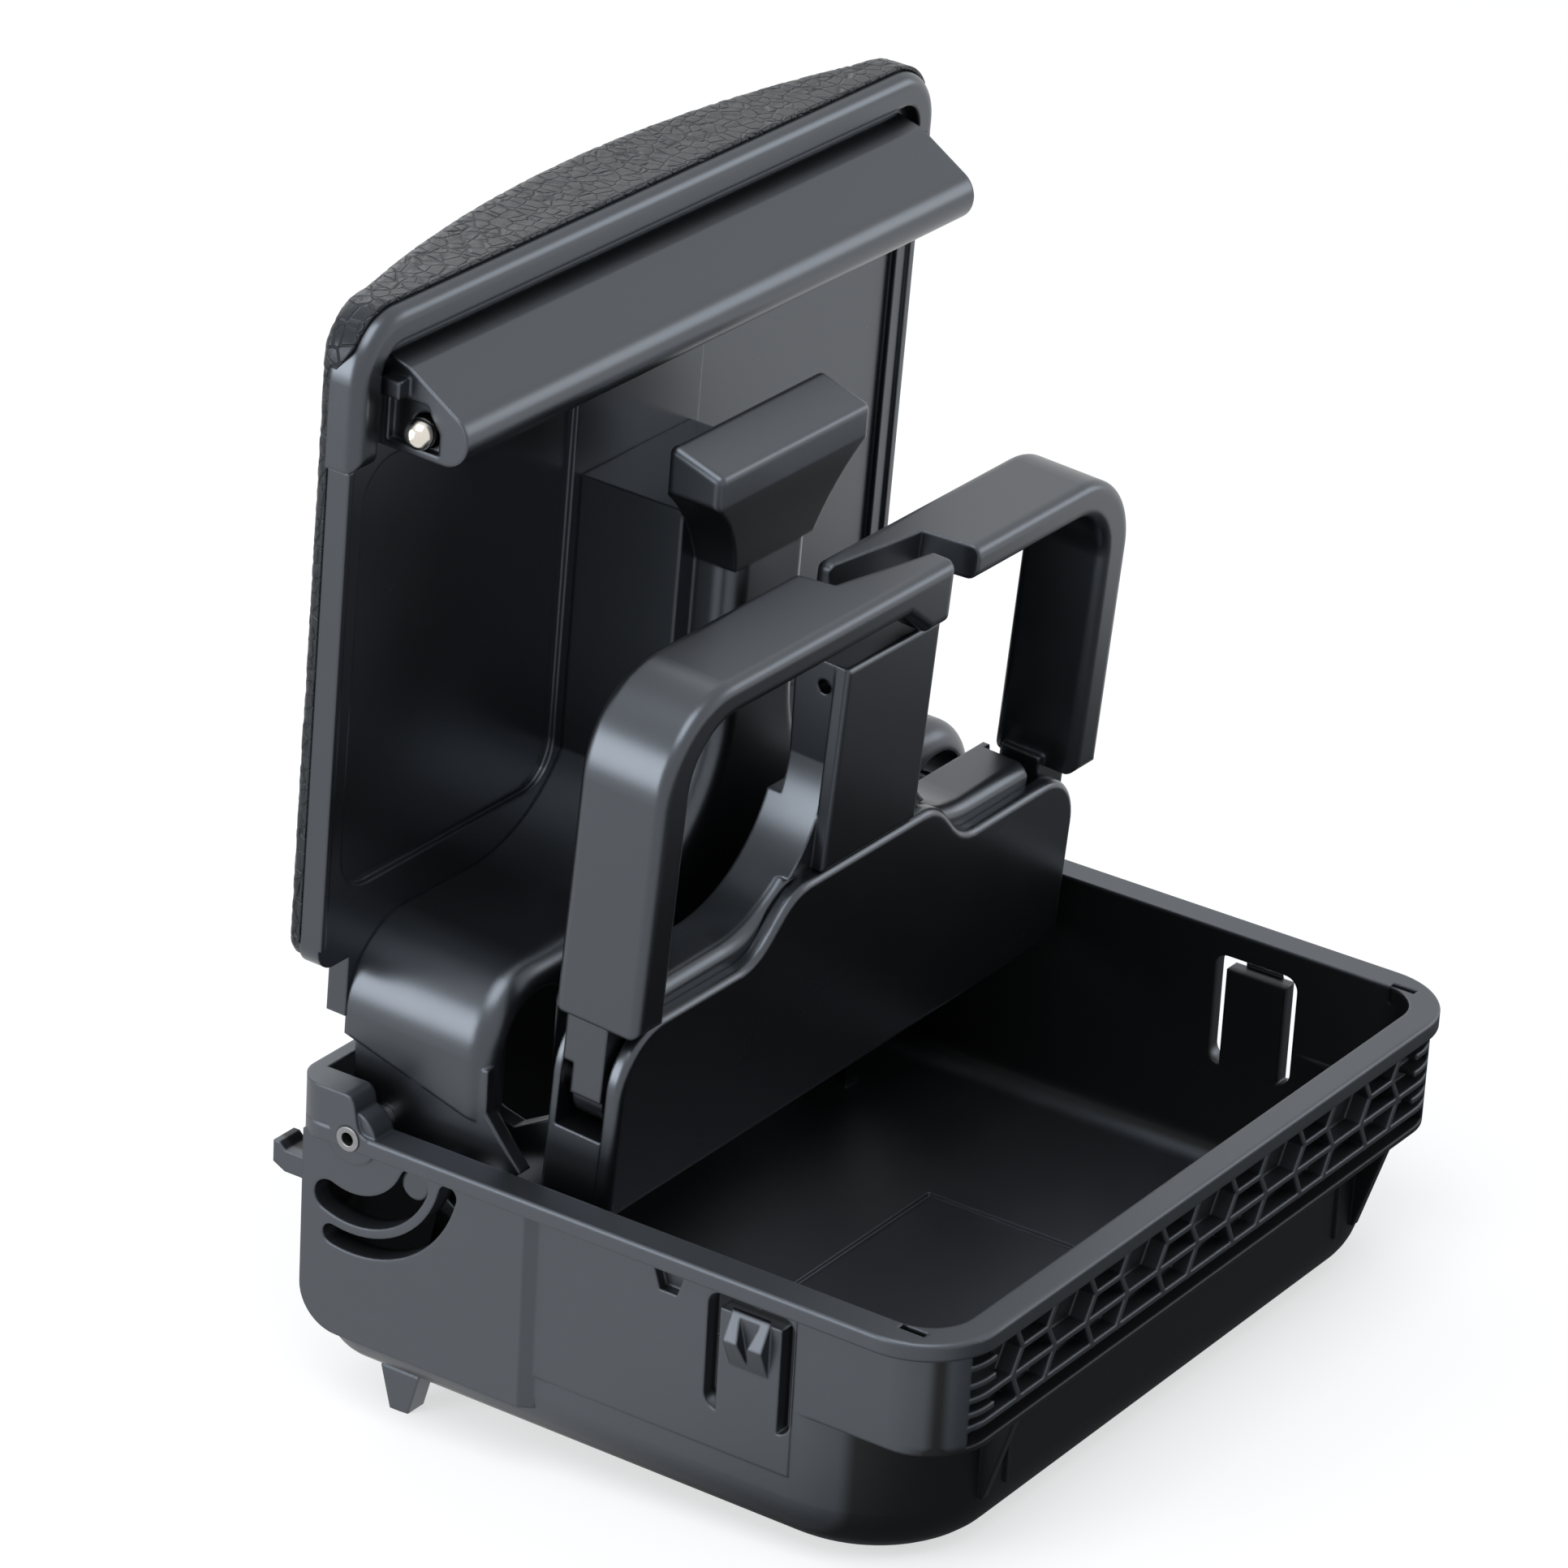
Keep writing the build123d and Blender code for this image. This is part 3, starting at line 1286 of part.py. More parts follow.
lid_head_back = -lid_thick - screw_head_height
screws = {
    "cradle_screw_lower": screw(lid_plane, 0, cradle_screw_low, lid_head_back, cradle_screw_length),
    "cradle_screw_upper": screw(lid_plane, 0, cradle_screw_high, lid_head_back, cradle_screw_length),
    "bar_screw_left": screw(lid_plane, -bar_screw_x, bar_screw_up, lid_head_back, bar_screw_length),
    "bar_screw_right": screw(lid_plane, bar_screw_x, bar_screw_up, lid_head_back, bar_screw_length),
    "cover_screw_left": screw(frame_plane, -cover_screw_x, cover_screw_up, shell_back, cover_screw_length),
    "cover_screw_right": screw(frame_plane, cover_screw_x, cover_screw_up, shell_back, cover_screw_length),
}
for word, steel in screws.items():
    steel.label = word
    export_step(steel, f"parts/{word}.step")
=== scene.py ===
import math

import bmesh
import bpy
from mathutils import Matrix, Vector, noise


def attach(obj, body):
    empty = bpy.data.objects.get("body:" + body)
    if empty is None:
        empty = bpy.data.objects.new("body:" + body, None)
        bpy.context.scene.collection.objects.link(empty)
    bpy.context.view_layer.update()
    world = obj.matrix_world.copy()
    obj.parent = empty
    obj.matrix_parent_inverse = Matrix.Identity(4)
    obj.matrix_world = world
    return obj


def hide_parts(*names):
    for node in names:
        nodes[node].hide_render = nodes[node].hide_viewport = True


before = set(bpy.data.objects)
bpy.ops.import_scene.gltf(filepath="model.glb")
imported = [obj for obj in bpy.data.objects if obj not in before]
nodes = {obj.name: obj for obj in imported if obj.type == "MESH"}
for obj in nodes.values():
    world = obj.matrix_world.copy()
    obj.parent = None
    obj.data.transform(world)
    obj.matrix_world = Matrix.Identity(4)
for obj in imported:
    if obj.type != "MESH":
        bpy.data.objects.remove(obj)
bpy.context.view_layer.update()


# Tub: one injection moulding in black plastic, with a rim that rests on the console. It is matt from a
# spark eroded mould and polished at the edges where it is handled and fitted. Its inner walls, hinge end
# and lower front panel carry painted shade: a plain dark colour and a weaker reflection there.
class Wire:
    """An output of a shader node. Sums and products of wires add Math nodes."""

    def __init__(self, tree, socket=None):
        self.tree = tree
        self.socket = socket

    def make(self, kind, settings, sockets, output=0):
        """Adds a node: its settings first, then the values or links of its sockets."""
        node = self.tree.nodes.new(kind)
        for name, value in settings.items():
            setattr(node, name, value)
        for name, value in sockets.items():
            if isinstance(value, Wire):
                self.tree.links.new(value.socket, node.inputs[name])
            else:
                node.inputs[name].default_value = value
        return None if output is None else Wire(self.tree, node.outputs[output])

    def sum_node(self, operation, first, second):
        return self.make("ShaderNodeMath", {"operation": operation}, {0: first, 1: second})

    def __add__(self, other):
        return self.sum_node("ADD", self, other)

    def __radd__(self, other):
        return self.sum_node("ADD", other, self)

    def __sub__(self, other):
        return self.sum_node("SUBTRACT", self, other)

    def __rsub__(self, other):
        return self.sum_node("SUBTRACT", other, self)

    def __mul__(self, other):
        return self.sum_node("MULTIPLY", self, other)

    def __rmul__(self, other):
        return self.sum_node("MULTIPLY", other, self)

    def above(self, low, high):
        """0 below low, 1 above high and smooth between."""
        return self.make(
            "ShaderNodeMapRange",
            {"interpolation_type": "SMOOTHSTEP"},
            {"Value": self, "From Min": low, "From Max": high},
        )


plastic_index = 1.88
# The painted shade reflects less: its index is lower than the plastic's.
painted_shade_index = 1.36
plastic_sheen = (0.80, 0.88, 1.0)
tub_dark = (0.0032, 0.0035, 0.0042)
tub_light = (0.0080, 0.0087, 0.0102)

# Noise lies about this value. The Mix node's colours have these sockets.
noise_middle = 0.5
mix_dark = 6
mix_light = 7
mix_colour = 2

# An edge is fully polished where the cosine between its rounded and its true normal is at or under the
# first value, and not at all over the second.
edge_rays = 6
edge_turned = (0.72, 0.995)

# Cloudy gloss, smears from handling, and scuffs that run along the length where the gloss is cloudy.
cloud_size = 0.022
smear_size = 0.0045
scuff_stretch = (900.0, 60.0, 500.0)
scuff_marks = (0.66, 0.80)
scuff_places = (0.45, 0.70)

# Shares of each in the colour, the roughness and the relief.
cloud_in_tone = 0.45
grain_in_tone = 0.25
edge_in_tone = 0.35
scuff_in_tone = 0.3
cloud_in_gloss = 0.09
smear_in_gloss = 0.07
scuff_in_gloss = 0.08
edge_in_gloss = 0.06
smear_in_relief = 0.5

# Where the painted shade begins and ends: above the floor, under the rim, inside the walls, and on the
# front panel under the ledge.
shade_from_floor = (0.0083, 0.0100)
shade_to_rim = (0.0482, 0.0489)
shade_to_side = (0.0700, 0.0712)
shade_from_front = (-0.0628, -0.0615)
panel_to_corner = (-0.0612, -0.0560)
panel_to_ledge = (0.0300, 0.0312)


def new_finish(name):
    """An empty material with a wire to build its nodes from."""
    finish = bpy.data.materials.new(name)
    finish.use_nodes = True
    finish.node_tree.nodes.clear()
    return finish, Wire(finish.node_tree)


def noise_of(wire, place, size, detail=2.0, roughness=0.5):
    """Noise whose lumps are about size metres across."""
    return wire.make(
        "ShaderNodeTexNoise",
        {},
        {"Vector": place, "Scale": 1 / size, "Detail": detail, "Roughness": roughness},
        "Fac",
    )


def stretched_noise(wire, place, stretch, detail):
    """Noise drawn out into streaks, with its own number of lumps in a metre along each axis."""
    drawn_out = wire.make("ShaderNodeMapping", {}, {"Vector": place, "Scale": stretch})
    return wire.make(
        "ShaderNodeTexNoise",
        {},
        {"Vector": drawn_out, "Scale": 1.0, "Detail": detail},
        "Fac",
    )


def colour_between(wire, share, dark, light):
    """A colour that goes from dark to light as share goes from 0 to 1."""
    return wire.make(
        "ShaderNodeMix",
        {"data_type": "RGBA"},
        {"Factor": share, mix_dark: (*dark, 1), mix_light: (*light, 1)},
        mix_colour,
    )


def worn_edge(wire, radius):
    """1 at an outside edge, 0 on a flat face: where the rounded normal leaves the true one."""
    rounded = wire.make("ShaderNodeBevel", {"samples": edge_rays}, {"Radius": radius}, "Normal")
    flat = wire.make("ShaderNodeNewGeometry", {}, {}, "Normal")
    match = wire.make(
        "ShaderNodeVectorMath", {"operation": "DOT_PRODUCT"}, {0: rounded, 1: flat}, "Value"
    )
    return 1 - match.above(*edge_turned), rounded


def painted_shade_faces(wire, place):
    """Painted shade: 1 on the tub's inner walls, both faces of its hinge end and lower front panel, else
    0.
    """
    across, along, height = (
        wire.make("ShaderNodeSeparateXYZ", {}, {"Vector": place}, axis) for axis in ("X", "Y", "Z")
    )
    sideways = wire.make("ShaderNodeMath", {"operation": "ABSOLUTE"}, {0: across})
    above_floor = height.above(*shade_from_floor) * (1 - height.above(*shade_to_rim))
    walls = (1 - sideways.above(*shade_to_side)) * along.above(*shade_from_front) * above_floor
    front_panel = (1 - along.above(*panel_to_corner)) * (1 - height.above(*panel_to_ledge))
    return walls + front_panel


def moulded_plastic(name, dark, light, roughness, grain, depth, edge=0.0006, mottle=0.3, shaded_by=None):
    """Black moulded plastic: fine grain, cloudy gloss, fine scuffs and polished rounded edges."""
    finish, wire = new_finish(name)
    place = wire.make("ShaderNodeTexCoord", {}, {}, "Object")
    fine = noise_of(wire, place, grain, detail=3.0, roughness=0.6)
    cloud = noise_of(wire, place, cloud_size, detail=4.0, roughness=0.55)
    smear = noise_of(wire, place, smear_size, detail=3.0, roughness=0.6)
    streak = stretched_noise(wire, place, scuff_stretch, detail=2.0)
    scuff = streak.above(*scuff_marks) * cloud.above(*scuff_places)
    worn, rounded = worn_edge(wire, edge)
    tone = cloud * cloud_in_tone + fine * grain_in_tone + worn * edge_in_tone
    tone = tone + scuff * (scuff_in_tone * mottle)
    cloudy = (cloud - noise_middle) * cloud_in_gloss
    smeared = (smear - noise_middle) * smear_in_gloss
    patchy = cloudy + smeared + scuff * scuff_in_gloss
    gloss = roughness + patchy * mottle - worn * edge_in_gloss
    relief = wire.make(
        "ShaderNodeBump",
        {},
        {
            "Strength": 1.0,
            "Distance": depth,
            "Height": fine + smear * smear_in_relief,
            "Normal": rounded,
        },
    )
    surface = wire.make(
        "ShaderNodeBsdfPrincipled",
        {},
        {
            "Base Color": colour_between(wire, tone, dark, light),
            "Roughness": gloss,
            "Normal": relief,
            "IOR": plastic_index,
            "Specular Tint": (*plastic_sheen, 1),
        },
    )
    # Painted shade: where the mask is 1, a plain dark colour with a weaker reflection takes over.
    if shaded_by:
        shade_surface = wire.make(
            "ShaderNodeBsdfPrincipled",
            {},
            {"Base Color": (*dark, 1), "Roughness": gloss, "Normal": relief, "IOR": painted_shade_index},
        )
        surface = wire.make("ShaderNodeMixShader", {}, {0: shaded_by(wire, place), 1: surface, 2: shade_surface})
    wire.make("ShaderNodeOutputMaterial", {}, {"Surface": surface}, None)
    return finish


def paint(names, finish):
    """Gives the named solids this finish, in the slots that they have."""
    for name in names:
        for holder in nodes[name].material_slots:
            holder.material = finish


tub_finish = moulded_plastic(
    "tub_black",
    tub_dark,
    tub_light,
    roughness=0.42,
    grain=0.00045,
    depth=0.000012,
    mottle=0.8,
    shaded_by=painted_shade_faces,
)
paint(["tub"], tub_finish)

# Hinge pins, frame pins, arm pins, screws and springs. The pins are drawn steel, cut to length and pressed
# in. The screws are zinc plated. The springs are wound from plain wire with a drawn skin.
drawn_stretch = (400.0, 5200.0, 5200.0)
skin_size = 0.0022
metal_edge = 0.0003
skin_in_metal_tone = 0.6
drawn_in_metal_tone = 0.25
edge_in_metal_tone = 0.4
skin_in_metal_gloss = 0.14
drawn_in_metal_gloss = 0.1


def bare_metal(name, dark, light, roughness, mark):
    """Metal with drawing marks, a cloudy skin and brighter edges."""
    finish, wire = new_finish(name)
    place = wire.make("ShaderNodeTexCoord", {}, {}, "Object")
    drawn = stretched_noise(wire, place, drawn_stretch, detail=3.0)
    skin = noise_of(wire, place, skin_size, detail=3.0, roughness=0.6)
    worn, rounded = worn_edge(wire, metal_edge)
    tone = skin * skin_in_metal_tone + drawn * drawn_in_metal_tone + worn * edge_in_metal_tone
    cloudy = (skin - noise_middle) * skin_in_metal_gloss
    gloss = roughness + cloudy + (drawn - noise_middle) * drawn_in_metal_gloss
    relief = wire.make(
        "ShaderNodeBump",
        {},
        {"Strength": 1.0, "Distance": mark, "Height": drawn, "Normal": rounded},
    )
    surface = wire.make(
        "ShaderNodeBsdfPrincipled",
        {},
        {
            "Base Color": colour_between(wire, tone, dark, light),
            "Metallic": 1.0,
            "Roughness": gloss,
            "Normal": relief,
        },
    )
    wire.make("ShaderNodeOutputMaterial", {}, {"Surface": surface}, None)
    return finish


steel_dark = (0.16, 0.16, 0.165)
steel_light = (0.36, 0.36, 0.37)
zinc_dark = (0.42, 0.43, 0.45)
zinc_light = (0.66, 0.67, 0.7)
wire_dark = (0.22, 0.22, 0.23)
wire_light = (0.45, 0.45, 0.46)
pin_steel = bare_metal("pin_steel", steel_dark, steel_light, roughness=0.38, mark=0.000004)
screw_zinc = bare_metal("screw_zinc", zinc_dark, zinc_light, roughness=0.32, mark=0.000004)
spring_wire = bare_metal("spring_wire", wire_dark, wire_light, roughness=0.3, mark=0.000003)
both_sides = ("left", "right")
paint([f"{pin}_pin_{side}" for pin in ("hinge", "frame", "arm") for side in both_sides], pin_steel)
paint([f"{spring}_spring_{side}" for spring in ("arm", "latch") for side in both_sides], spring_wire)
paint([f"{held}_screw_{side}" for held in ("bar", "cover") for side in both_sides], screw_zinc)
paint([f"cradle_screw_{end}" for end in ("lower", "upper")], screw_zinc)

# Ring frame: a shell with two half round seats and a divider, closed by a smooth front cover. Both are
# black plastic with a finer satin finish than the tub, screwed together from behind.
satin_dark = (0.0014, 0.0015, 0.0018)
satin_light = (0.0046, 0.0050, 0.0058)
satin_grain = 0.0003


def satin(name, roughness, depth, edge):
    """The satin plastic of the lid, the ring frame and what they carry."""
    return moulded_plastic(name, satin_dark, satin_light, roughness, satin_grain, depth, edge)


paint(["frame_shell"], satin("shell_satin", roughness=0.30, depth=0.000006, edge=0.0006))
paint(["frame_cover"], satin("cover_satin", roughness=0.28, depth=0.000006, edge=0.0006))

# Arms: two C shaped mouldings that grip the cups, in the same satin plastic with generous round edges
# that hands and cups have rubbed smooth.
paint(["arm_left", "arm_right"], satin("arm_satin", roughness=0.31, depth=0.000007, edge=0.0008))

# Cradle: one moulding screwed to the lid, with humps over the hinge and a post with a T shaped head, in
# satin plastic with softly rounded edges.
paint(["cradle"], satin("cradle_satin", roughness=0.32, depth=0.000008, edge=0.0008))

# Lid panel and trim: the smooth inner face of the lid and the bezel clipped round its top edge, both
# moulded in black plastic with a fine satin skin.
paint(["lid_panel"], satin("panel_satin", roughness=0.26, depth=0.000006, edge=0.0006))
paint(["lid_trim"], satin("trim_satin", roughness=0.28, depth=0.000006, edge=0.0008))

# Latch bar and its pins: a rounded satin bar screwed across the top of the lid, and two bright nickel
# plated pins with ball ends that spring out of it.
nickel_dark = (0.62, 0.57, 0.5)
nickel_light = (0.86, 0.82, 0.76)
paint(["latch_bar"], satin("bar_satin", roughness=0.30, depth=0.000007, edge=0.0007))
pin_nickel = bare_metal("pin_nickel", nickel_dark, nickel_light, roughness=0.16, mark=0.000001)
paint([f"latch_pin_{side}" for side in both_sides], pin_nickel)

# Lid pad: thin foam under embossed leatherette, stretched over the outside of the lid, bowed across the
# width, rolled over the edges and lapped over the trim at the top. Its pebbled grain is pressed in, a
# little over 2 mm from crease to crease.
pad_lean = math.radians(2.0)
hinge_point = Vector((0.0, 0.042, 0.048))
face_offset = 0.008
pad_out = Vector((0.0, math.cos(pad_lean), math.sin(pad_lean)))
pad_up = Vector((0.0, -math.sin(pad_lean), math.cos(pad_lean)))
pad_origin = hinge_point + face_offset * pad_out
pad_half = 0.0746
pad_low = 0.025
pad_top = 0.1298
pad_back = 0.0035
pad_edge = 0.0018
pad_crown = 0.01363
pad_roll = 0.0012
top_roll = 0.0036
roll_share = 0.66
corner_top = 0.009
corner_low = 0.005

# The lip over the trim: how far it reaches down, stands out and clears the trim, and how soon it is full.
lip_reach = 0.0032
lip_lift = 0.0011
lip_under = 0.00045
lip_start = 0.5

# The steps of the mesh, and the gap under which its points are joined.
rows_flat = 130
rows_corner = 20
columns = 230
roll_steps = 6
wall_steps = 16
weld_gap = 0.000002

# The pressed grain: its cells and their seed, how they wander, how wide and deep the creases are, and
# where it ends.
grain_cell = 0.0021
grain_seed = 4
wander_pace = 0.6
wander_share = 0.35
crease_share = 0.34
grain_depth = 0.00014
grain_stop = 0.0004

# The leatherette: cloudy tone, hair grain and fine creases, with their shares in the colour, the gloss
# and the relief. The creases' share in the colour is painted shade.
hide_dark = (0.0022, 0.0024, 0.0029)
hide_light = (0.0082, 0.0088, 0.0102)
hide_index = 1.45
hide_roughness = 0.44
hide_relief = 0.00024
hide_cloud = 0.02
hair_size = 0.00035
crease_cell = 0.0023
crease_edge = (0.0, 0.11)
cloud_in_hide_tone = 0.4
crease_shade_in_hide_tone = 0.35
hair_in_hide_tone = 0.25
crease_in_hide_gloss = 0.10
cloud_in_hide_gloss = 0.1
hair_in_hide_gloss = 0.12
hair_in_hide_relief = 0.16


def crown_at(x):
    """Height of the pad above the back of the lid panel: an arc across the width."""
    rise = pad_crown - pad_edge
    bow = (pad_half**2 + rise**2) / (2 * rise)
    return pad_edge + math.sqrt(bow**2 - x**2) - (bow - rise)


def roll_at(x, up):
    """Radius of the rolled edge: small at the sides and the low end, fuller along the top."""
    full = max(pad_roll, min(top_roll, roll_share * crown_at(x)))
    return full if up > pad_top / 2 else pad_roll


def inset_at(x, up):
    """Distance of a point of the face from the pad's outline, round the top corners too."""
    beside = abs(x) - (pad_half - corner_top)
    above = up - (pad_top - corner_top)
    if beside > 0 and above > 0:
        return corner_top - math.hypot(beside, above)
    return min(pad_top - up, pad_half - abs(x))


def rolled_down(x, up, inset):
    """How far the edge is rolled down at a distance inside the outline."""
    roll = roll_at(x, up)
    into = min(max(roll - inset, 0.0), roll)
    return roll - math.sqrt(roll**2 - into**2)


def pad_rows():
    """Height up the lid and half width of each row of the pad's face, inside the rolled edge."""
    low_radius = corner_low - pad_roll
    top_radius = corner_top - pad_roll
    half = pad_half - pad_roll
    first = pad_low + pad_roll + low_radius
    last = pad_top - pad_roll - top_radius
    rows = []
    for step in range(rows_corner):
        turn = math.pi / 2 * (1 - step / rows_corner)
        rows.append((first - low_radius * math.sin(turn), half - low_radius * (1 - math.cos(turn))))
    for step in range(rows_flat + 1):
        rows.append((first + (last - first) * step / rows_flat, half))
    for step in range(1, rows_corner + 1):
        turn = math.pi / 2 * step / rows_corner
        rows.append((last + top_radius * math.sin(turn), half - top_radius * (1 - math.cos(turn))))
    return rows


def way_out(x, up):
    """Direction square to the pad's outline at a point of it, across and up the lid."""
    low_middle = pad_low + corner_low
    top_middle = pad_top - corner_top
    if low_middle <= up <= top_middle:
        return Vector((math.copysign(1.0, x), 0.0))
    corner = corner_low if up < low_middle else corner_top
    middle = low_middle if up < low_middle else top_middle
    side = max(abs(x) - (pad_half - corner), 0.0)
    return Vector((math.copysign(side, x), up - middle)).normalized()


def edge_profile(x, up, lap):
    """Steps out from the face and heights, from the roll down the wall, under the lip and to the back."""
    high = pad_back + crown_at(x)
    low = pad_back - lip_reach * lap
    wide = pad_roll + lip_lift * lap
    under = pad_roll + lip_under * lap
    profile = []
    for step in range(1, roll_steps + 1):
        share = math.sin(math.pi / 2 * step / roll_steps)
        profile.append((wide * share, high - rolled_down(x, up, pad_roll * (1 - share))))
    wall_top = profile[-1][1]
    for step in range(1, wall_steps + 1):
        profile.append((wide, wall_top + (low - wall_top) * step / wall_steps))
    return profile + [(under, low), (under, pad_back), (0.0, pad_back)]


def pad_mesh():
    """The pad as a closed mesh: bowed face, rolled edge, side wall, lip over the trim and flat back."""
    mesh = bmesh.new()

    def point(x, up, out):
        return mesh.verts.new(pad_origin + Vector((x, 0, 0)) + up * pad_up + out * pad_out)

    face = []
    for up, half in pad_rows():
        face.append([(half * (2 * step / columns - 1), up) for step in range(columns + 1)])
    grid = [
        [point(x, up, pad_back + crown_at(x) - rolled_down(x, up, inset_at(x, up))) for x, up in row]
        for row in face
    ]
    for low, high in zip(grid, grid[1:]):
        for step in range(columns):
            mesh.faces.new((low[step], high[step], high[step + 1], low[step + 1]))
    count = len(face)
    rim = [(0, step) for step in range(columns)]
    rim += [(row, columns) for row in range(count - 1)]
    rim += [(count - 1, step) for step in range(columns, 0, -1)]
    rim += [(row, 0) for row in range(count - 1, 0, -1)]
    ring = [grid[row][step] for row, step in rim]
    spots = [face[row][step] for row, step in rim]
    ways = [way_out(x, up) for x, up in spots]
    profiles = []
    for (x, up), way in zip(spots, ways):
        at_top = up > pad_top - corner_top
        lap = min(max(way.y, 0.0) / lip_start, 1.0) if at_top else 0.0
        profiles.append(edge_profile(x, up, lap))
    for level in zip(*profiles):
        new_ring = [
            point(x + way.x * outward, up + way.y * outward, out)
            for (x, up), way, (outward, out) in zip(spots, ways, level)
        ]
        for step in range(len(ring)):
            after = (step + 1) % len(ring)
            mesh.faces.new((ring[step], ring[after], new_ring[after], new_ring[step]))
        ring = new_ring
    mesh.faces.new(ring)
    bmesh.ops.remove_doubles(mesh, verts=mesh.verts, dist=weld_gap)
    bmesh.ops.recalc_face_normals(mesh, faces=mesh.faces)
    return mesh


def emboss(mesh):
    """Presses the pebbled grain into the outside of the pad."""
    mesh.normal_update()
    noise.seed_set(grain_seed)
    moves = []
    for vert in mesh.verts:
        spot = vert.co / grain_cell
        wander = noise.noise_vector(spot * wander_pace) * wander_share
        near, _ = noise.voronoi(spot + wander)
        crease = min((near[1] - near[0]) / crease_share, 1.0)
        swell = crease * (2 - crease) - 1
        moves.append(vert.normal * swell * grain_depth)
    for vert, move in zip(mesh.verts, moves):
        if (vert.co - pad_origin).dot(pad_out) > pad_back + grain_stop:
            vert.co += move


def leatherette(name):
    """Embossed leatherette: creases darkened with painted shade, shiny tops and a fine hair grain."""
    finish, wire = new_finish(name)
    place = wire.make("ShaderNodeTexCoord", {}, {}, "Object")
    cloud = noise_of(wire, place, hide_cloud, detail=3.0, roughness=0.5)
    hair = noise_of(wire, place, hair_size, detail=3.0, roughness=0.65)
    cells = wire.make(
        "ShaderNodeTexVoronoi",
        {"feature": "DISTANCE_TO_EDGE"},
        {"Vector": place, "Scale": 1 / crease_cell, "Randomness": 1.0},
        "Distance",
    )
    crease = cells.above(*crease_edge)
    # The creases are darker in the colour: painted shade.
    tone = cloud * cloud_in_hide_tone + crease * crease_shade_in_hide_tone + hair * hair_in_hide_tone
    cloudy = (cloud - noise_middle) * cloud_in_hide_gloss
    hairy = (hair - noise_middle) * hair_in_hide_gloss
    gloss = hide_roughness - crease * crease_in_hide_gloss + cloudy + hairy
    relief = wire.make(
        "ShaderNodeBump",
        {},
        {"Strength": 1.0, "Distance": hide_relief, "Height": crease + hair * hair_in_hide_relief},
    )
    surface = wire.make(
        "ShaderNodeBsdfPrincipled",
        {},
        {
            "Base Color": colour_between(wire, tone, hide_dark, hide_light),
            "Roughness": gloss,
            "Normal": relief,
            "IOR": hide_index,
            "Specular Tint": (*plastic_sheen, 1),
        },
    )
    wire.make("ShaderNodeOutputMaterial", {}, {"Surface": surface}, None)
    return finish


pad_shape = pad_mesh()
emboss(pad_shape)
pad_data = bpy.data.meshes.new("lid_pad")
pad_shape.to_mesh(pad_data)
pad_shape.free()
for polygon in pad_data.polygons:
    polygon.use_smooth = len(polygon.vertices) == 4
pad_data.materials.append(leatherette("pad_leatherette"))
lid_pad = bpy.data.objects.new("lid_pad", pad_data)
bpy.context.scene.collection.objects.link(lid_pad)
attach(lid_pad, "lid")
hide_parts("lid_skin")

# Studio: a white sheet that the part stands on, on its feet and the front edge of the tub. Close in front
# of the part, reflections show a dim patch of painted shadow on it, so that the front faces stay as dark
# as in the photograph.
foot_spot = Vector((0.0, 0.036, 0.0))
front_spot = Vector((0.0, -0.06, 0.006))
floor_reach = 3.0
sheet_dark = (0.90, 0.91, 0.92)
sheet_light = (0.93, 0.94, 0.95)
sheet_roughness = 0.6
sheet_cloud_size = 0.12
sheet_seen_share = 0.62
# The painted shadow seen in reflections: its middle, where it fades out, its colour and its strength.
shadow_spot = (0.06, -0.09, 0.0)
shadow_reach = (0.135, 0.185)
shadow_colour = (0.9, 0.95, 1.0)
shadow_strength = 0.12
floor_along = (foot_spot - front_spot).normalized()
floor_data = bpy.data.meshes.new("floor")
floor_corners = [
    foot_spot + Vector((x * floor_reach, 0, 0)) + floor_along * y * floor_reach
    for x, y in ((-1, -1), (1, -1), (1, 1), (-1, 1))
]
floor_data.from_pydata(floor_corners, [], [(0, 1, 2, 3)])
floor = bpy.data.objects.new("floor", floor_data)
bpy.context.scene.collection.objects.link(floor)
sheet_white, sheet_wire = new_finish("sheet_white")
sheet_place = sheet_wire.make("ShaderNodeTexCoord", {}, {}, "Object")
sheet_cloud = noise_of(sheet_wire, sheet_place, sheet_cloud_size)
sheet_tone = colour_between(sheet_wire, sheet_cloud, sheet_dark, sheet_light)
sheet_surface = sheet_wire.make(
    "ShaderNodeBsdfPrincipled", {}, {"Base Color": sheet_tone, "Roughness": sheet_roughness}
)
sheet_seen = sheet_wire.make("ShaderNodeLightPath", {}, {}, "Is Camera Ray")
sheet_shiny = sheet_wire.make("ShaderNodeLightPath", {}, {}, "Is Glossy Ray")
sheet_glow = sheet_wire.make("ShaderNodeEmission", {}, {"Color": (1, 1, 1, 1), "Strength": 1.0})
sheet_shade = sheet_wire.make(
    "ShaderNodeEmission", {}, {"Color": (*shadow_colour, 1), "Strength": shadow_strength}
)
# Glossy rays see the painted shadow near its middle; camera rays and the rest see the white glow.
sheet_away = sheet_wire.make(
    "ShaderNodeVectorMath", {"operation": "DISTANCE"}, {0: sheet_place, 1: shadow_spot}, "Value"
)
sheet_bright = sheet_seen + sheet_away.above(*shadow_reach)
sheet_mirrored = sheet_wire.make(
    "ShaderNodeMixShader", {}, {0: sheet_bright, 1: sheet_shade, 2: sheet_glow}
)
sheet_share = sheet_seen * sheet_seen_share + sheet_shiny
sheet_mixed = sheet_wire.make(
    "ShaderNodeMixShader", {}, {0: sheet_share, 1: sheet_surface, 2: sheet_mirrored}
)
sheet_wire.make("ShaderNodeOutputMaterial", {}, {"Surface": sheet_mixed}, None)
floor_data.materials.append(sheet_white)

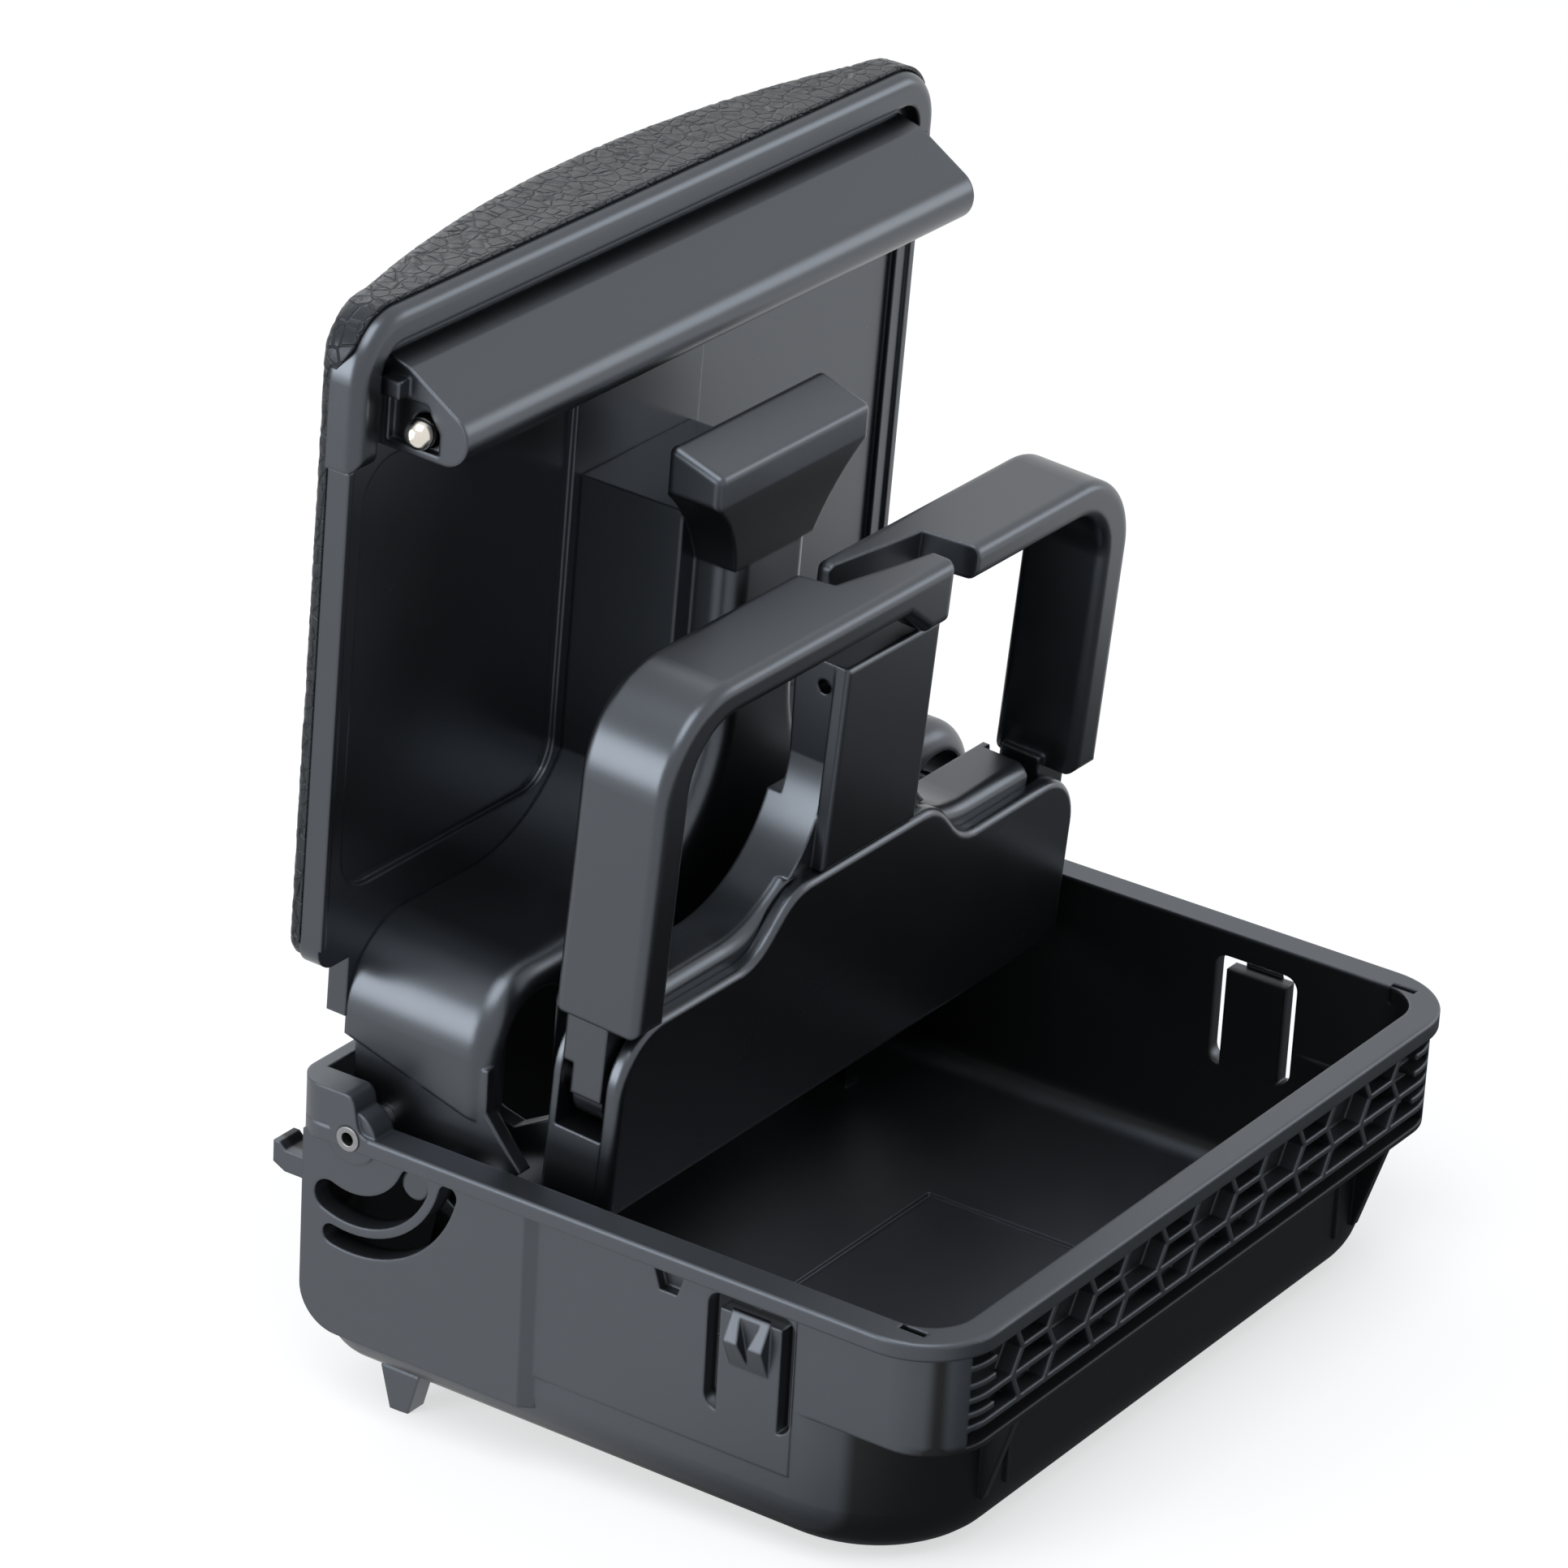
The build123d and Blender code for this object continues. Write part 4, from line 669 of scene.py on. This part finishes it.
# Air of the studio: white where it is seen or mirrored, so that the background is plain white, and a soft
# bluish fill for the rest of the light.
fill_colour = (0.94, 0.97, 1.0)
fill_strength = 0.7
world = bpy.data.worlds.new("studio")
world.use_nodes = True
world.node_tree.nodes.clear()
air = Wire(world.node_tree)
seen = air.make("ShaderNodeLightPath", {}, {}, "Is Camera Ray")
shiny = air.make("ShaderNodeLightPath", {}, {}, "Is Glossy Ray")
through = air.make("ShaderNodeLightPath", {}, {}, "Is Transmission Ray")
backdrop = air.make("ShaderNodeBackground", {}, {"Color": (1, 1, 1, 1), "Strength": 1.0})
fill = air.make("ShaderNodeBackground", {}, {"Color": (*fill_colour, 1), "Strength": fill_strength})
sky = air.make("ShaderNodeMixShader", {}, {0: seen + shiny + through, 1: fill, 2: backdrop})
air.make("ShaderNodeOutputWorld", {}, {"Surface": sky}, None)
bpy.context.scene.world = world

# Lights: four large soft boxes, the strongest overhead and the others behind the part, to its left and to
# its right.
lamp_colour = (0.95, 0.975, 1.0)


def soft_light(name, spot, aim, width, power):
    """A large soft light that looks at a point."""
    lamp = bpy.data.lights.new(name, "AREA")
    lamp.shape = "SQUARE"
    lamp.size = width
    lamp.energy = power
    lamp.color = lamp_colour
    holder = bpy.data.objects.new(name, lamp)
    holder.location = spot
    holder.rotation_euler = (Vector(aim) - Vector(spot)).to_track_quat("-Z", "Y").to_euler()
    bpy.context.scene.collection.objects.link(holder)


soft_light("key_light", spot=(-0.55, -0.15, 1.25), aim=(0, 0, 0.06), width=0.9, power=11.0)
soft_light("back_light", spot=(0.5, 0.9, 0.75), aim=(0, 0, 0.08), width=0.8, power=2.5)
soft_light("side_light", spot=(-0.75, 0.42, 0.24), aim=(0, 0, 0.08), width=0.5, power=4.0)
soft_light("window_light", spot=(0.95, -0.62, 0.42), aim=(0, 0, 0.10), width=0.5, power=1.8)

# Camera: where the photograph was taken from, as fitted to points of it. It has a long lens, so lines that
# run away from it hardly draw together.
camera_right = Vector((0.56445, -0.82383, 0.05200))
camera_up = Vector((0.32779, 0.28150, 0.90184))
camera_back = Vector((-0.75760, -0.49199, 0.42894))
camera_spot = Vector((-0.84884, -0.53459, 0.56813))
lens = bpy.data.cameras.new("camera")
lens.lens = 167.70
lens.sensor_width = 36.0
camera = bpy.data.objects.new("camera", lens)
camera_turn = Matrix((camera_right, camera_up, camera_back)).transposed().to_4x4()
camera.matrix_world = Matrix.Translation(camera_spot) @ camera_turn
bpy.context.scene.collection.objects.link(camera)
bpy.context.scene.camera = camera
bpy.context.scene.view_settings.view_transform = "Standard"
